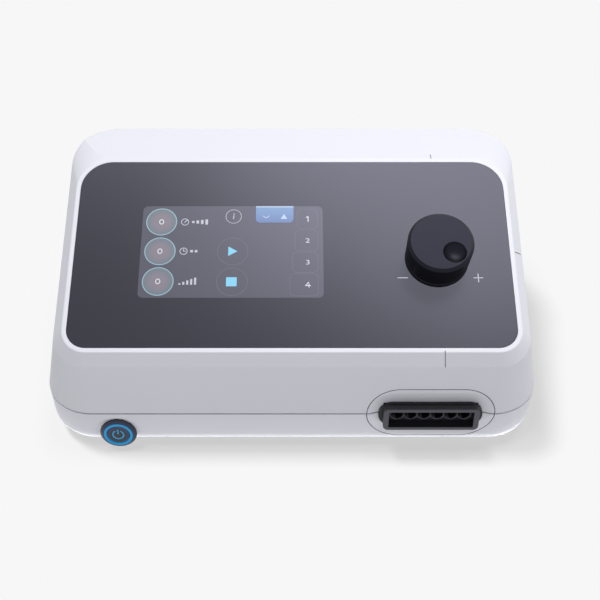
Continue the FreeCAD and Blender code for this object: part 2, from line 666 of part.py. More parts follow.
def make_top():
    """The top housing: leaning walls, chamfer, land around the glass, deck and rear shelf."""
    seam = outline("seam_plan", at(z=TOP_BOTTOM), *case_outline())
    crease = outline("crease_plan", f"{PANEL} * {at(z='-chamfer_drop')}",
                     f"panel_width / 2 + {CREASE_OUT}", f"-{CREASE_OUT}", CREASE_BACK,
                     "crease_front_corner", "crease_back_corner")
    land = outline("land_plan", PANEL, RIM_HALF, "-rim_width", "panel_length + rim_width",
                   "panel_front_corner + rim_width", "panel_back_corner + rim_width")
    walls = loft("leaning_walls", seam, crease)
    chamfer = loft("chamfer_band", crease, land)
    reach = "(body_width + 2 * wall)"
    shelf_frame = at("0", RIDGE_Y, RIDGE_Z, "1; 0; 0", "-shelf_fall")
    above = made("Part::Box", "above_shelf", f"{shelf_frame} * {at(f'-({reach}) / 2')}",
                 Length=reach, Width="body_depth", Height="body_depth")
    crown = softened("crown_rounded", cut("crown", fuse("crown_block", walls, chamfer), above))

    inner_seam = outline("inner_seam_plan", at(z=TOP_BOTTOM), *case_outline("wall"))
    inner_deck = outline("inner_deck_plan", f"{PANEL} * {at(z=f'-{DECK_DEPTH}')}",
                         RIM_HALF, "-rim_width", f"{CREASE_BACK} - 2 * wall",
                         "panel_front_corner + rim_width", "crease_back_corner - wall")
    above_inner = made("Part::Box", "above_inner_shelf",
                       f"{shelf_frame} * {at(f'-({reach}) / 2', '0', '-wall')}",
                       Length=reach, Width="body_depth", Height="body_depth")
    hollow = cut("crown_hollow", loft("inner_walls", inner_seam, inner_deck), above_inner)

    posts = [rod(f"top_post_{number}", "case_post_radius", "body_depth", x=x, y=y, z=TOP_BOTTOM)
             for number, (x, y) in enumerate(corners_of("screw_side", "screw_inset"), 1)]
    shell = cut("top_shell", crown, hollow)
    solid = fuse("top_solid", shell, common("top_posts", fuse("tall_posts", *posts), crown))

    glass_bed = outline("glass_bed_plan", f"{PANEL} * {at(z='-glass_thickness')}", "panel_width / 2", "0",
                        "panel_length", "panel_front_corner", "panel_back_corner")
    module_width = "screen_width + 2 * module_margin + 2 * glass_fit"
    module_length = "screen_length + 2 * module_margin + 2 * glass_fit"
    window = box("screen_window", module_width, module_length, "2 * wall", SCREEN,
                 z=f"-{DECK_DEPTH} - wall / 2")
    encoder_hole = rod("encoder_hole", "bushing_radius", "2 * wall", KNOB, z=f"-{DECK_DEPTH} - wall / 2")
    taken = [prism("glass_bed", glass_bed, "glass_thickness * 2"), window, encoder_hole]
    lap = prism("lap_outer", outline("lap_plan", at(z=TOP_BOTTOM), *case_outline("(wall / 2)")),
                "tongue_height - seam_gap + tongue_fit")
    lap_core = prism("lap_core", outline("lap_core_plan", at(z=TOP_BOTTOM), *case_outline("wall")),
                     "tongue_height")
    taken.append(cut("lap", lap, lap_core))
    back_lean = f"atan(back_lean / (panel_front_height + {CREASE_BACK} * sin(panel_tilt) - {TOP_BOTTOM}))"
    recess = at("-recess_width / 2", f"back_y - recess_depth", f"{TOP_BOTTOM} + 2 * wall",
                "1; 0; 0", back_lean)
    taken.append(made("Part::Box", "back_recess", recess, Length="recess_width", Width="20 * recess_depth",
                      Height="body_depth"))
    for number, (x, y) in enumerate(corners_of("screw_side", "screw_inset"), 1):
        taken.append(rod(f"top_pilot_{number}", "screw_radius", "screw_bite", x=x, y=y, z=TOP_BOTTOM))
    taken += slots("top_slot", "fan_x", f"{TOP_BOTTOM} + 3 * wall", back_lean)
    taken += socket_opening("top_socket")
    housing = keep(cut("top_housing", solid, *taken), "top_housing")
    for stage in (shell, solid, housing):
        stage.Refine = False  # merging faces can fail on the rounded crown


def make_feet():
    """Four rubber feet in recesses of the base."""
    for number, (x, y) in enumerate(corners_of("foot_side", "foot_inset"), 1):
        foot = turned(f"foot_{number}", at(x, y), [
            ("0", "0"), ("foot_radius - foot_taper", "0"),
            ("foot_radius - foot_taper / 3", "foot_height / 3"),
            ("foot_radius", "foot_height + foot_seat"), ("0", "foot_height + foot_seat")])
        keep(foot, f"foot_{number}")


def make_screws():
    """Screws that hold the top on the base, and the boards on their posts."""
    screws = []
    seat = f"({TOP_BOTTOM} - screw_grip)"
    for number, (x, y) in enumerate(corners_of("screw_side", "screw_inset"), 1):
        head = rod(f"case_screw_head_{number}", "screw_head_radius", "screw_head_height",
                   x=x, y=y, z=f"{seat} - screw_head_height")
        shank = rod(f"case_screw_shank_{number}", "screw_radius", "screw_grip + screw_bite - 2 * screw_play",
                    x=x, y=y, z=seat)
        screws.append(fuse(f"case_screw_{number}", head, shank))
    keep(group("case_screw_group", *screws), "case_screws")
    screws = []
    top = f"({FLOOR_Z} + post_height + board_thickness)"
    for prefix in ("main", "supply"):
        for number, (x, y) in enumerate(board_holes(prefix), 1):
            head = rod(f"{prefix}_screw_head_{number}", "2 * post_hole", "board_screw_head", x=x, y=y,
                       z=top)
            shank = rod(f"{prefix}_screw_shank_{number}", "post_hole",
                        "board_thickness + post_height - screw_play", x=x, y=y, z=f"{FLOOR_Z} + screw_play")
            screws.append(fuse(f"{prefix}_screw_{number}", head, shank))
    keep(group("board_screw_group", *screws), "board_screws")


# ---------------------------------------------------------------- panel

def make_panel():
    """Cover glass, display module and the bracket that holds it to the deck."""
    plan = outline("glass_plan", f"{PANEL} * {at(z='-glass_thickness')}", "panel_width / 2 - glass_fit",
                   "glass_fit", "panel_length - glass_fit", "panel_front_corner - glass_fit",
                   "panel_back_corner - glass_fit")
    hole = rod("glass_hole", "encoder_nut_radius + knob_gap", "3 * glass_thickness", KNOB,
               z="-2 * glass_thickness")
    keep(cut("glass_piece", prism("glass_blank", plan, "glass_thickness"), hole), "control_glass")

    width = "(screen_width + 2 * module_margin)"
    length = "(screen_length + 2 * module_margin)"
    under_glass = "(glass_thickness + module_thickness)"
    keep(box("module_piece", width, length, "module_thickness", SCREEN, z=f"-{under_glass}"),
         "display_module")
    tray = box("bracket_tray", f"{width} + 2 * bracket_margin", f"{length} + 2 * bracket_margin",
               f"{under_glass} + bracket_thickness - {DECK_DEPTH}", SCREEN,
               z=f"-{under_glass} - bracket_thickness")
    nest = box("bracket_nest", width, length, "module_thickness", SCREEN, z=f"-{under_glass}")
    keep(cut("bracket_piece", tray, nest), "display_bracket")


def make_knob():
    """Control knob with a finger dimple, on the shaft of a panel encoder."""
    bore_top = "(knob_height - knob_top - wall / 2)"
    groove = "(knob_gap + knob_groove_rise)"
    blank = turned("knob_blank", KNOB, [
        ("shaft_radius", "knob_gap"), ("knob_radius / 3", "knob_gap"),
        ("knob_radius / 3", "knob_height - knob_top"),
        ("knob_foot_radius - knob_shell", "knob_height - knob_top"),
        ("knob_foot_radius - knob_shell", "knob_gap"), ("knob_foot_radius", "knob_gap"),
        ("knob_foot_radius", groove), ("knob_foot_radius - knob_groove", f"{groove} + knob_groove"),
        ("knob_foot_radius - knob_groove", f"{groove} + knob_groove_width - knob_groove"),
        ("knob_foot_radius", f"{groove} + knob_groove_width"),
        ("knob_radius", "knob_height - knob_chamfer"), ("knob_radius - knob_chamfer", "knob_height"),
        ("0", "knob_height"), ("0", bore_top), ("shaft_radius", bore_top)])
    dimple = made("Part::Sphere", "dimple_ball",
                  f"{KNOB} * {at(axis='0; 0; 1', angle='dimple_angle')}"
                  f" * {at('dimple_offset', '0', 'knob_height + dimple_radius - dimple_depth')}",
                  Radius="dimple_radius")
    keep(cut("knob_piece", blank, dimple), "control_knob")

    below = f"({DECK_DEPTH} + encoder_depth)"
    keep(rod("shaft_piece", "shaft_radius", f"{below} - encoder_floor + {bore_top}", KNOB,
             z=f"-{below} + encoder_floor"), "encoder_shaft")
    can = box("encoder_can", "encoder_width", "encoder_width", "encoder_depth", KNOB, z=f"-{below}")
    bushing = rod("encoder_bushing", "bushing_radius", f"{DECK_DEPTH} + knob_gap / 2", KNOB,
                  z=f"-{DECK_DEPTH}")
    bore = rod("encoder_bore", "shaft_radius + shaft_fit", f"{below} + knob_gap", KNOB,
               z=f"-{below} + encoder_floor - shaft_fit")
    keep(cut("encoder_piece", fuse("encoder_solid", can, bushing), bore), "encoder_body")
    nut = made("Part::Prism", "encoder_hex", f"{KNOB} * {at(z='-glass_thickness')}",
               Circumradius="encoder_nut_radius", Height="encoder_nut_height")
    nut.Polygon = 6
    thread = rod("encoder_nut_bore", "bushing_radius", "3 * encoder_nut_height", KNOB,
                 z="-glass_thickness - encoder_nut_height")
    keep(cut("encoder_nut_piece", nut, thread), "encoder_nut")


# ---------------------------------------------------------------- hose socket

def port_places():
    """The ports' distances from the middle of the socket."""
    middle = (PORT_COUNT - 1) / 2
    return [f"({index - middle} * port_pitch)" for index in range(PORT_COUNT)]


def make_socket():
    """Sleeve with its flange, port block, gasket and the short tubes behind it."""
    mouth_width = "(sleeve_width - 2 * sleeve_wall_x)"
    mouth_height = "(sleeve_height - 2 * sleeve_wall_y)"
    sleeve = prism("sleeve_block", outline("sleeve_plan", f"{SOCKET} * {at(z='-sleeve_depth')}",
                                           *centred("sleeve_width", "sleeve_height", "sleeve_corner")),
                   "sleeve_depth + socket_proud")
    pill = centred("flange_width", "flange_height", f"flange_height * {PILL_END}")
    flange = prism("flange_block", outline("flange_plan", f"{SOCKET} * {at(z='-flange_sink')}", *pill),
                   "flange_sink + flange_proud")
    mouth = box("sleeve_mouth", mouth_width, mouth_height, "2 * (sleeve_depth + socket_proud)", SOCKET,
                z="-2 * sleeve_depth")
    keep(cut("socket_piece", fuse("socket_solid", sleeve, flange), mouth), "socket_shell")

    ring = box("gasket_plate", "sleeve_width", "sleeve_height", "gasket_thickness", SOCKET,
               z="-sleeve_depth - gasket_thickness")
    ring_hole = box("gasket_hole", mouth_width, mouth_height, "3 * gasket_thickness", SOCKET,
                    z="-sleeve_depth - 2 * gasket_thickness")
    keep(cut("gasket_piece", ring, ring_hole), "port_gasket")

    rear = PORT_REAR
    plug = box("port_plug", f"{mouth_width} - 2 * port_fit", f"{mouth_height} - 2 * port_fit", rear,
               SOCKET, z=f"-{rear}")
    plate = box("port_backing", "sleeve_width", "sleeve_height", "port_plate", SOCKET,
                z=f"-{rear} - port_plate")
    pieces = [plug, plate]
    bores = []
    tubes = []
    for number, x in enumerate(port_places(), 1):
        barb_root = f"({rear} + port_plate)"
        pieces.append(rod(f"barb_{number}", "barb_radius", "barb_length", SOCKET, x=x,
                          z=f"-{barb_root} - barb_length"))
        bores.append(rod(f"port_{number}", "port_radius", "port_depth * 2", SOCKET, x=x, z="-port_depth"))
        bores.append(rod(f"barb_bore_{number}", "barb_bore", f"{barb_root} + barb_length * 2", SOCKET, x=x,
                         z=f"-{barb_root} - barb_length * 2"))
        tubes.append(port_tube(number, x, barb_root))
    keep(cut("port_piece", fuse("port_solid", *pieces), *bores), "port_block")
    keep(group("port_tube_group", *tubes), "port_tubes")


def route(points, bend):
    """Straight runs through points, joined by tangent arcs of one radius."""
    edges = []
    start = points[0]
    for before, corner, after in zip(points, points[1:], points[2:]):
        back = (before - corner).normalize()
        ahead = (after - corner).normalize()
        half_turn = (math.pi - back.getAngle(ahead)) / 2
        setback = bend * math.tan(half_turn)
        inward = (back + ahead).normalize()
        entry = corner + back * setback
        leave = corner + ahead * setback
        crown = corner + inward * (bend / math.cos(half_turn) - bend)
        edges.append(Part.LineSegment(start, entry).toShape())
        edges.append(Part.Arc(entry, crown, leave).toShape())
        start = leave
    edges.append(Part.LineSegment(start, points[-1]).toShape())
    return Part.Wire(edges)


def tube(name, points):
    """A soft air tube that sits over a barb at its start."""
    path = route(points, measure("tube_bend"))
    bore = measure("barb_radius")
    direction = points[1] - points[0]
    walls = []
    for radius in (bore + measure("tube_wall"), bore):
        ring = Part.Wire([Part.Circle(points[0], direction, radius).toShape()])
        walls.append(path.makePipeShell([ring], True, True))
    item = doc.addObject("Part::Feature", name)
    item.Shape = walls[0].cut(walls[1])
    return item


def point(x, y, z):
    return FreeCAD.Vector(measure(x), measure(y), measure(z))


def port_tube(number, x, barb_root):
    """A short tube from a port's barb to the front face of the valve manifold."""
    start = point(f"socket_x + {x}", f"front_y + {barb_root} * cos(wall_draft)",
                  f"{SEAM_Z} - {barb_root} * sin(wall_draft)")
    bend = point(f"socket_x + {x}", TUBE_BEND_Y, TUBE_Z)
    end = point(f"socket_x + {x}", "manifold_y - manifold_depth / 2", TUBE_Z)
    return tube(f"port_tube_{number}", [start, bend, end])


# ---------------------------------------------------------------- power button

def make_button():
    """Bezel with its barrel and nut, lit ring, sprung cap with its symbol, and the switch."""
    lamp_in = "(cap_radius + cap_fit)"
    ring_floor = "(bezel_height - lamp_depth)"
    plunger_end = "(barrel_length + plunger_reach)"
    cap_room = "(cap_depth + cap_travel + cap_fit)"
    bezel = turned("bezel_piece", BUTTON, [
        ("plunger_radius + cap_fit", "-barrel_length"), ("barrel_radius", "-barrel_length"),
        ("barrel_radius", "-root_depth"), ("root_radius", "-root_depth"), ("root_radius", "0"),
        ("bezel_radius", "0"), ("bezel_radius", "bezel_height / 3"),
        ("bezel_face_radius", "bezel_height"), ("lamp_radius", "bezel_height"),
        ("lamp_radius", ring_floor), ("cap_radius + cap_fit", ring_floor),
        ("cap_radius + cap_fit", f"-{cap_room}"), ("plunger_radius + cap_fit", f"-{cap_room}")])
    keep(bezel, "power_button_bezel")
    lamp = turned("lamp_piece", BUTTON, [
        (lamp_in, ring_floor), ("lamp_radius", ring_floor), ("lamp_radius", "bezel_height - lamp_crown"),
        ("lamp_radius - cap_bevel", "bezel_height + lamp_crown"), (lamp_in, "bezel_height")])
    keep(lamp, "power_button_light_ring")

    cap = turned("cap_blank", BUTTON, [
        ("0", f"-{plunger_end}"), ("plunger_radius", f"-{plunger_end}"), ("plunger_radius", "-cap_depth"),
        ("cap_radius", "-cap_depth"), ("cap_radius", "cap_height - cap_bevel"),
        ("cap_radius - cap_bevel", "cap_height"), ("0", "cap_height")])
    inlay = "(cap_height - symbol_inlay)"
    keep(cut("cap_piece", cap, *symbol("symbol_cutter", inlay, "2 * symbol_inlay")), "power_button_cap")
    keep(group("symbol_window", *symbol("symbol", inlay, "symbol_inlay")), "power_symbol_window")

    nut = made("Part::Prism", "button_hex", f"{BUTTON} * {at(z='-boss_depth - nut_height')}",
               Circumradius="nut_radius", Height="nut_height")
    nut.Polygon = 6
    thread = rod("button_nut_bore", "barrel_radius", "3 * nut_height", BUTTON,
                 z="-boss_depth - 2 * nut_height")
    keep(cut("button_nut_piece", nut, thread), "power_button_nut")
    body_start = "(-barrel_length - switch_length)"
    can = rod("switch_can", "switch_radius", "switch_length", BUTTON, z=body_start)
    plunger_bore = rod("switch_bore", "plunger_radius + cap_fit", "2 * switch_length", BUTTON,
                       z=f"-{plunger_end} - cap_travel - cap_fit")
    tabs = [box(f"switch_tab_{name}", "wall / 3", "wall", "2 * wall", BUTTON, x=f"{side}barrel_radius / 2",
                z=f"{body_start} - 2 * wall") for side, name in (("-", "left"), ("", "right"))]
    keep(cut("switch_piece", fuse("switch_solid", can, *tabs), plunger_bore), "power_switch")


def symbol(name, floor, height):
    """The ring with a gap and the bar of a power symbol."""
    disc = rod(name + "_disc", "symbol_radius", height, BUTTON, z=floor)
    eye = rod(name + "_eye", "symbol_radius - symbol_stroke", "4 * symbol_inlay", BUTTON,
              z=f"{floor} - symbol_inlay")
    gap = box(name + "_gap", "3 * symbol_stroke", "symbol_radius", "4 * symbol_inlay", BUTTON,
              y="symbol_radius / 2 + symbol_stroke", z=f"{floor} - symbol_inlay")
    bar = box(name + "_bar", "symbol_stroke", "symbol_radius", height, BUTTON,
              y="symbol_radius / 2 + symbol_stroke / 2", z=floor)
    return [cut(name + "_ring", disc, eye, gap), bar]


# ---------------------------------------------------------------- boards and inlet

def make_boards():
    """Main board, power supply board and what is soldered to them."""
    board_z = f"({FLOOR_Z} + post_height)"
    top = f"({board_z} + board_thickness)"
    for prefix, name in (("main", "main_board"), ("supply", "power_supply_board")):
        plate = box(f"{prefix}_plate", f"{prefix}_width", f"{prefix}_depth", "board_thickness",
                    x=f"{prefix}_x", y=f"{prefix}_y", z=board_z)
        holes = [rod(f"{prefix}_hole_{number}", "post_hole", "3 * board_thickness", x=x, y=y,
                     z=f"{board_z} - board_thickness")
                 for number, (x, y) in enumerate(board_holes(prefix), 1)]
        keep(cut(f"{prefix}_board_piece", plate, *holes), name)

    plug = ("plug_short", "plug_depth", "plug_height")
    driver = ("driver_size", "driver_size", "chip_height")
    layout = [("processor", -0.11, 0.06, "processor_size", "processor_size", "chip_height"),
              ("memory", 0.09, 0.12, "memory_size", "memory_size", "chip_height"),
              ("driver_left", 0.28, -0.22, *driver), ("driver_right", 0.28, 0.04, *driver),
              ("display_plug", -0.28, 0.38, "plug_long", "plug_depth", "plug_height"),
              ("valve_plug", 0.28, 0.38, *plug), ("supply_plug", -0.3, -0.38, *plug)]
    chips = [box(name, width, depth, height, x=f"main_x + {x} * main_width",
                 y=f"main_y + {y} * main_depth", z=top) for name, x, y, width, depth, height in layout]
    keep(group("main_components", *chips), "board_components")
    sensor_place = {"x": "main_x + 0.08 * main_width", "y": "main_y - 0.25 * main_depth"}
    sensor = box("sensor_can", "sensor_size", "sensor_size", "sensor_height", z=top, **sensor_place)
    nipple = rod("sensor_nipple", "nipple_radius", "nipple_length + wall / 2",
                 z=f"{top} + sensor_height - wall / 2", **sensor_place)
    keep(fuse("sensor_piece", sensor, nipple), "pressure_sensor")

    core_place = {"x": "supply_x - 0.05 * supply_width", "y": "supply_y"}
    core = box("transformer_core", "core_width", "core_depth", "core_height", z=top, **core_place)
    winding = box("transformer_winding", "core_width - 2 * winding_inset", "core_depth + 2 * winding_proud",
                  "core_height - 2 * winding_proud", z=f"{top} + winding_proud", **core_place)
    keep(fuse("transformer_piece", core, winding), "supply_transformer")
    cans = [rod(f"capacitor_{name}", "capacitor_radius", "capacitor_height",
                x="supply_x + 0.24 * supply_width", y=f"supply_y {side} capacitor_pitch / 2", z=top)
            for side, name in (("-", "front"), ("+", "back"))]
    keep(group("capacitor_group", *cans), "supply_capacitors")


def make_inlet():
    """Two-pin appliance inlet in the back of the base."""
    middle = f"({SEAM_Z} / 2)"
    face = "back_y"
    block = box("inlet_block", "inlet_width", "inlet_depth", "inlet_height", x="inlet_x",
                y=f"{face} - inlet_depth / 2", z=f"{middle} - inlet_height / 2")
    flange = box("inlet_rim", "inlet_width + 2 * inlet_flange", "inlet_plate",
                 "inlet_height + 2 * inlet_flange", x="inlet_x", y=f"{face} - inlet_plate / 2",
                 z=f"{middle} - inlet_height / 2 - inlet_flange")
    mouth_width = "(inlet_mouth_width - inlet_mouth_height)"
    mouths = [box("inlet_mouth", mouth_width, "inlet_mouth_depth", "inlet_mouth_height", x="inlet_x",
                  y=f"{face} - inlet_mouth_depth / 2", z=f"{middle} - inlet_mouth_height / 2")]
    pins = []
    for side, name in (("+", "right"), ("-", "left")):
        mouths.append(rod(f"inlet_lobe_{name}", "inlet_mouth_height / 2", "inlet_mouth_depth",
                          x=f"inlet_x {side} {mouth_width} / 2", y=face, z=middle,
                          axis="1; 0; 0", angle="90"))
        pins.append(rod(f"inlet_pin_{name}", "inlet_pin_radius", "inlet_pin_length",
                        x=f"inlet_x {side} inlet_pin_pitch / 2",
                        y=f"{face} - inlet_mouth_depth + inlet_pin_length", z=middle,
                        axis="1; 0; 0", angle="90"))
    keep(cut("inlet_piece", fuse("inlet_solid", block, flange), *mouths), "mains_inlet")
    keep(group("inlet_pin_group", *pins), "inlet_pins")


# ---------------------------------------------------------------- air unit

def make_compressor():
    """Linear compressor: case on rubber mounts, coils, armature with diaphragms, two heads."""
    bottom = f"({FLOOR_Z} + mount_height)"
    middle = f"({bottom} + pump_height / 2)"
    centre = at("pump_x", "pump_y", middle)
    along = f"{centre} * {at(axis='0; 1; 0', angle='90')}"
    shell = box("pump_block", "pump_width", "pump_depth", "pump_height", centre, z="-pump_height / 2")
    room = box("pump_room", "pump_width - 2 * pump_wall", "pump_depth - 2 * pump_wall",
               "pump_height - 2 * pump_wall", centre, z="-pump_height / 2 + pump_wall")
    rod_way = rod("pump_rod_way", "2 * armature_rod", "2 * pump_width", along, z="-pump_width")
    keep(cut("pump_case_piece", shell, room, rod_way), "compressor_case")

    stack = "(pump_depth / 2 - pump_wall - armature_thickness / 2 - air_gap)"
    coils = [box(f"coil_{name}", "armature_length", stack, "armature_height + 2 * coil_overhang", centre,
                 y=f"{side} ((pump_depth / 2 - pump_wall) - {stack} / 2)",
                 z="-armature_height / 2 - coil_overhang")
             for side, name in (("", "back"), ("-", "front"))]
    keep(group("coil_group", *coils), "compressor_coils")

    bar = box("magnet_bar", "armature_length", "armature_thickness", "armature_height", centre,
              z="-armature_height / 2")
    disc_start = "(pump_width / 2 + (chamber_depth - diaphragm_thickness) / 2)"
    spine = rod("armature_spine", "armature_rod", f"2 * {disc_start} + diaphragm_thickness", along,
                z=f"-{disc_start} - diaphragm_thickness / 2")
    discs = [rod(f"diaphragm_{name}", "chamber_radius - diaphragm_gap", "diaphragm_thickness", along,
                 z=start)
             for name, start in (("right", disc_start), ("left", f"-{disc_start} - diaphragm_thickness"))]
    keep(fuse("armature_piece", bar, spine), "compressor_armature")
    keep(group("diaphragm_group", *[cut(f"{disc.Name}_ring", disc, spine) for disc in discs]),
         "compressor_diaphragms")

    for side, name in (("-", "left"), ("", "right")):
        start = f"({side}(pump_width / 2 + head_thickness / 2))"
        block = box(f"head_block_{name}", "head_thickness", "head_depth", "head_height", centre, x=start,
                    z="-head_height / 2")
        chamber = rod(f"head_chamber_{name}", "chamber_radius", "chamber_depth", along,
                      z="pump_width / 2" if name == "right" else "-pump_width / 2 - chamber_depth")
        outlet = rod(f"head_outlet_{name}", "barb_radius", "barb_length + wall / 2", centre, x=start,
                     z="head_height / 2 - wall / 2")
        keep(cut(f"head_piece_{name}", fuse(f"head_solid_{name}", block, outlet), chamber),
             f"compressor_head_{name}")

    mounts = []
    for number, (a, b) in enumerate(((-1, -1), (-1, 1), (1, -1), (1, 1)), 1):
        mounts.append(rod(f"pump_mount_{number}", "mount_radius", "mount_height",
                          x=f"pump_x + {a} * (pump_width / 2 - mount_radius)",
                          y=f"pump_y + {b} * (pump_depth / 2 - mount_radius)", z=FLOOR_Z))
    keep(group("pump_mount_group", *mounts), "compressor_mounts")


def make_valves():
    """Valve manifold with its solenoid valves, its stands and the tubes that feed it."""
    block_z = f"({TUBE_Z} - manifold_height / 2)"
    block = box("manifold_block", "manifold_width", "manifold_depth", "manifold_height", x="socket_x",
                y="manifold_y", z=block_z)
    keep(block, "valve_manifold")
    stands = [box(f"manifold_stand_{name}", "stand_width", "manifold_depth", f"{block_z} - {FLOOR_Z}",
                  x=f"socket_x {side} (manifold_width - stand_width) / 2", y="manifold_y", z=FLOOR_Z)
              for side, name in (("-", "left"), ("+", "right"))]
    keep(group("manifold_stand_group", *stands), "manifold_stands")
    for index in range(VALVE_COUNT):
        x = f"socket_x + ({index} - {(VALVE_COUNT - 1) / 2}) * valve_pitch"
        can = box(f"valve_can_{index + 1}", "valve_width", "valve_depth", "valve_height", x=x,
                  y="manifold_y", z=f"{block_z} + manifold_height")
        spout = rod(f"valve_spout_{index + 1}", "barb_radius", "spout_length + wall / 2", x=x, y="manifold_y",
                    z=f"{block_z} + manifold_height + valve_height - wall / 2")
        keep(fuse(f"valve_piece_{index + 1}", can, spout), f"air_valve_{index + 1}")
    outlet_z = f"({FLOOR_Z} + mount_height + pump_height / 2 + head_height / 2)"
    feeds = []
    for side, name in (("-", "left"), ("+", "right")):
        outlet_x = f"(pump_x {side} (pump_width / 2 + head_thickness / 2))"
        entry_x = f"(socket_x {side} (manifold_width / 2 - 2 * barb_radius - tube_wall - 2 * wall))"
        front_y = "(manifold_y + manifold_depth / 2)"
        feeds.append(tube(f"supply_tube_{name}", [
            point(outlet_x, "pump_y", outlet_z),
            point(outlet_x, "pump_y", f"{outlet_z} + barb_length + tube_rise"),
            point(entry_x, f"{front_y} + {UPPER_BEND} * tube_bend", f"{outlet_z} + barb_length + tube_rise"),
            point(entry_x, f"{front_y} + {LOWER_BEND} * tube_bend", TUBE_Z),
            point(entry_x, front_y, TUBE_Z)]))
    keep(group("supply_tube_group", *feeds), "supply_tubes")


# ---------------------------------------------------------------- fan

def make_fan():
    """Cooling fan behind the rear vents: a frame with its pin, and the bladed rotor."""
    middle_z = f"({FLOOR_Z} + fan_size / 2)"
    frame = at("fan_x", f"back_y - fan_standoff", middle_z, "1; 0; 0", "90")
    block = box("fan_block", "fan_size", "fan_size", "fan_thickness", frame)
    opening = rod("fan_opening", "fan_bore", "4 * fan_thickness", frame, z="-fan_thickness")
    plate = rod("fan_motor_plate", "fan_hub", "fan_plate", frame)
    struts = [made("Part::Box", f"fan_strut_{turn}",
                   f"{frame} * {at(axis='0; 0; 1', angle=str(45 + 90 * turn))} * {at('0', '-fan_plate / 2')}",
                   Length="fan_bore + fan_plate / 2", Width="fan_plate", Height="fan_plate")
              for turn in range(4)]
    pin_length = "(fan_thickness - 2 * fan_gap - fan_pin / 2)"
    pin = rod("fan_pin_rod", "fan_pin", pin_length, frame)
    keep(fuse("fan_frame_piece", cut("fan_ring", block, opening), plate, pin, *struts), "fan_frame")

    hub_start = "(fan_plate + fan_gap)"
    hub_height = f"(fan_thickness - {hub_start} - 2 * fan_gap)"
    hub = rod("rotor_hub", "fan_hub", hub_height, frame, z=hub_start)
    blades = []
    for index in range(BLADE_COUNT):
        turn = f"{360 / BLADE_COUNT * index}"
        spoke = at(z=f"{hub_start} + {hub_height} / 2", axis="0; 0; 1", angle=turn)
        pitch = at("fan_hub - blade_root", axis="1; 0; 0", angle="blade_angle")
        middle = at("0", "-blade_width / 2", "-blade_thickness / 2")
        blades.append(made("Part::Box", f"blade_{index + 1}", f"{frame} * {spoke} * {pitch} * {middle}",
                           Length="fan_bore - fan_tip_gap - fan_hub", Width="blade_width",
                           Height="blade_thickness"))
    bore = rod("rotor_bore", "fan_pin + shaft_fit", f"{pin_length} + fan_gap - fan_plate", frame,
               z="fan_plate")
    keep(cut("rotor_piece", fuse("rotor_solid", hub, *blades), bore), "fan_rotor")


def export():
    """Check every object, then write each finished sub-part to its own file."""
    doc.recompute()
    for item in doc.Objects:
        if "Invalid" in item.State or "Error" in item.State:
            raise RuntimeError(f"{item.Name} failed: {item.State}")
    os.makedirs("parts", exist_ok=True)
    for item in kept:
        shape = item.Shape
        if shape.isNull() or not shape.isValid() or not shape.Solids:
            raise RuntimeError(f"{item.Label} has no valid solid")
    for item in kept:
        item.Shape.exportStep(f"parts/{item.Label}.step")
        span = item.Shape.BoundBox
        print(f"{item.Label}: {len(item.Shape.Solids)} solid(s), {item.Shape.Volume:.1f} mm3, "
              f"x {span.XMin:.2f} {span.XMax:.2f} y {span.YMin:.2f} {span.YMax:.2f} "
              f"z {span.ZMin:.2f} {span.ZMax:.2f}")


make_base()
make_top()
make_feet()
make_screws()
make_panel()
make_knob()
make_socket()
make_button()
make_boards()
make_inlet()
make_compressor()
make_valves()
make_fan()
export()
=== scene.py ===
"""A table-top compression therapy pump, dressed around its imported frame.

Metres, +Z up, the pump's front faces -Y. Pieces sit at the origin with their place in their mesh.
"""
import json
import math

import bmesh
import bpy
from mathutils import Matrix, Vector


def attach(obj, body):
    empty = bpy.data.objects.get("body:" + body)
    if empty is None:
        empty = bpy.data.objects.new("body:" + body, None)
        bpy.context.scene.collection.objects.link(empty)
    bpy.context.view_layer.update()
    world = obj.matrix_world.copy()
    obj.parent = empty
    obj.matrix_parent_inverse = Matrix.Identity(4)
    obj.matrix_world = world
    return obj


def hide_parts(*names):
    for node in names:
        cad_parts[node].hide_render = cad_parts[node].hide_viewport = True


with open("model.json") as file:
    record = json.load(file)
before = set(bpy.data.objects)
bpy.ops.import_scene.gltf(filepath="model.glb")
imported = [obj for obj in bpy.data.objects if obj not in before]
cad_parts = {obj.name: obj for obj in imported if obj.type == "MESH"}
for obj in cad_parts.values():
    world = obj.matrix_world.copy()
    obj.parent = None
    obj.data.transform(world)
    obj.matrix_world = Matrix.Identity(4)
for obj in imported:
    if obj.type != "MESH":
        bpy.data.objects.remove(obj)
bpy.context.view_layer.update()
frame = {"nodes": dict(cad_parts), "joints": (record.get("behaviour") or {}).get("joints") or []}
MM = 0.001


# ------------------------------------------------------------------ case, lower half
# The base housing is the lower half of the case: injection-moulded ABS in cool white, with a
# fine spark-eroded satin texture. Its rounded foot edge and its rebate at the seam come straight
# from the mould; the parting edges are broken by a few tenths of a millimetre.

def linear(code):
    """An sRGB hex colour as linear red, green, blue and alpha."""
    parts = [int(code[place:place + 2], 16) / 255 for place in (0, 2, 4)]
    return [part / 12.92 if part <= 0.04045 else ((part + 0.055) / 1.055) ** 2.4 for part in parts] + [1.0]


def add_node(tree, kind, settings=(), links=()):
    """Add a shader node, set its properties or sockets, and link sockets from other nodes."""
    node = tree.nodes.new(kind)
    for name, value in dict(settings).items():
        if isinstance(name, str) and hasattr(node, name):
            setattr(node, name, value)
        else:
            node.inputs[name].default_value = value
    for name, source in dict(links).items():
        tree.links.new(source, node.inputs[name])
    return node


def new_material(name):
    """An empty node material, its tree and its output."""
    material = bpy.data.materials.new(name)
    material.use_nodes = True
    material.node_tree.nodes.clear()
    tree = material.node_tree
    return material, tree, add_node(tree, "ShaderNodeOutputMaterial")


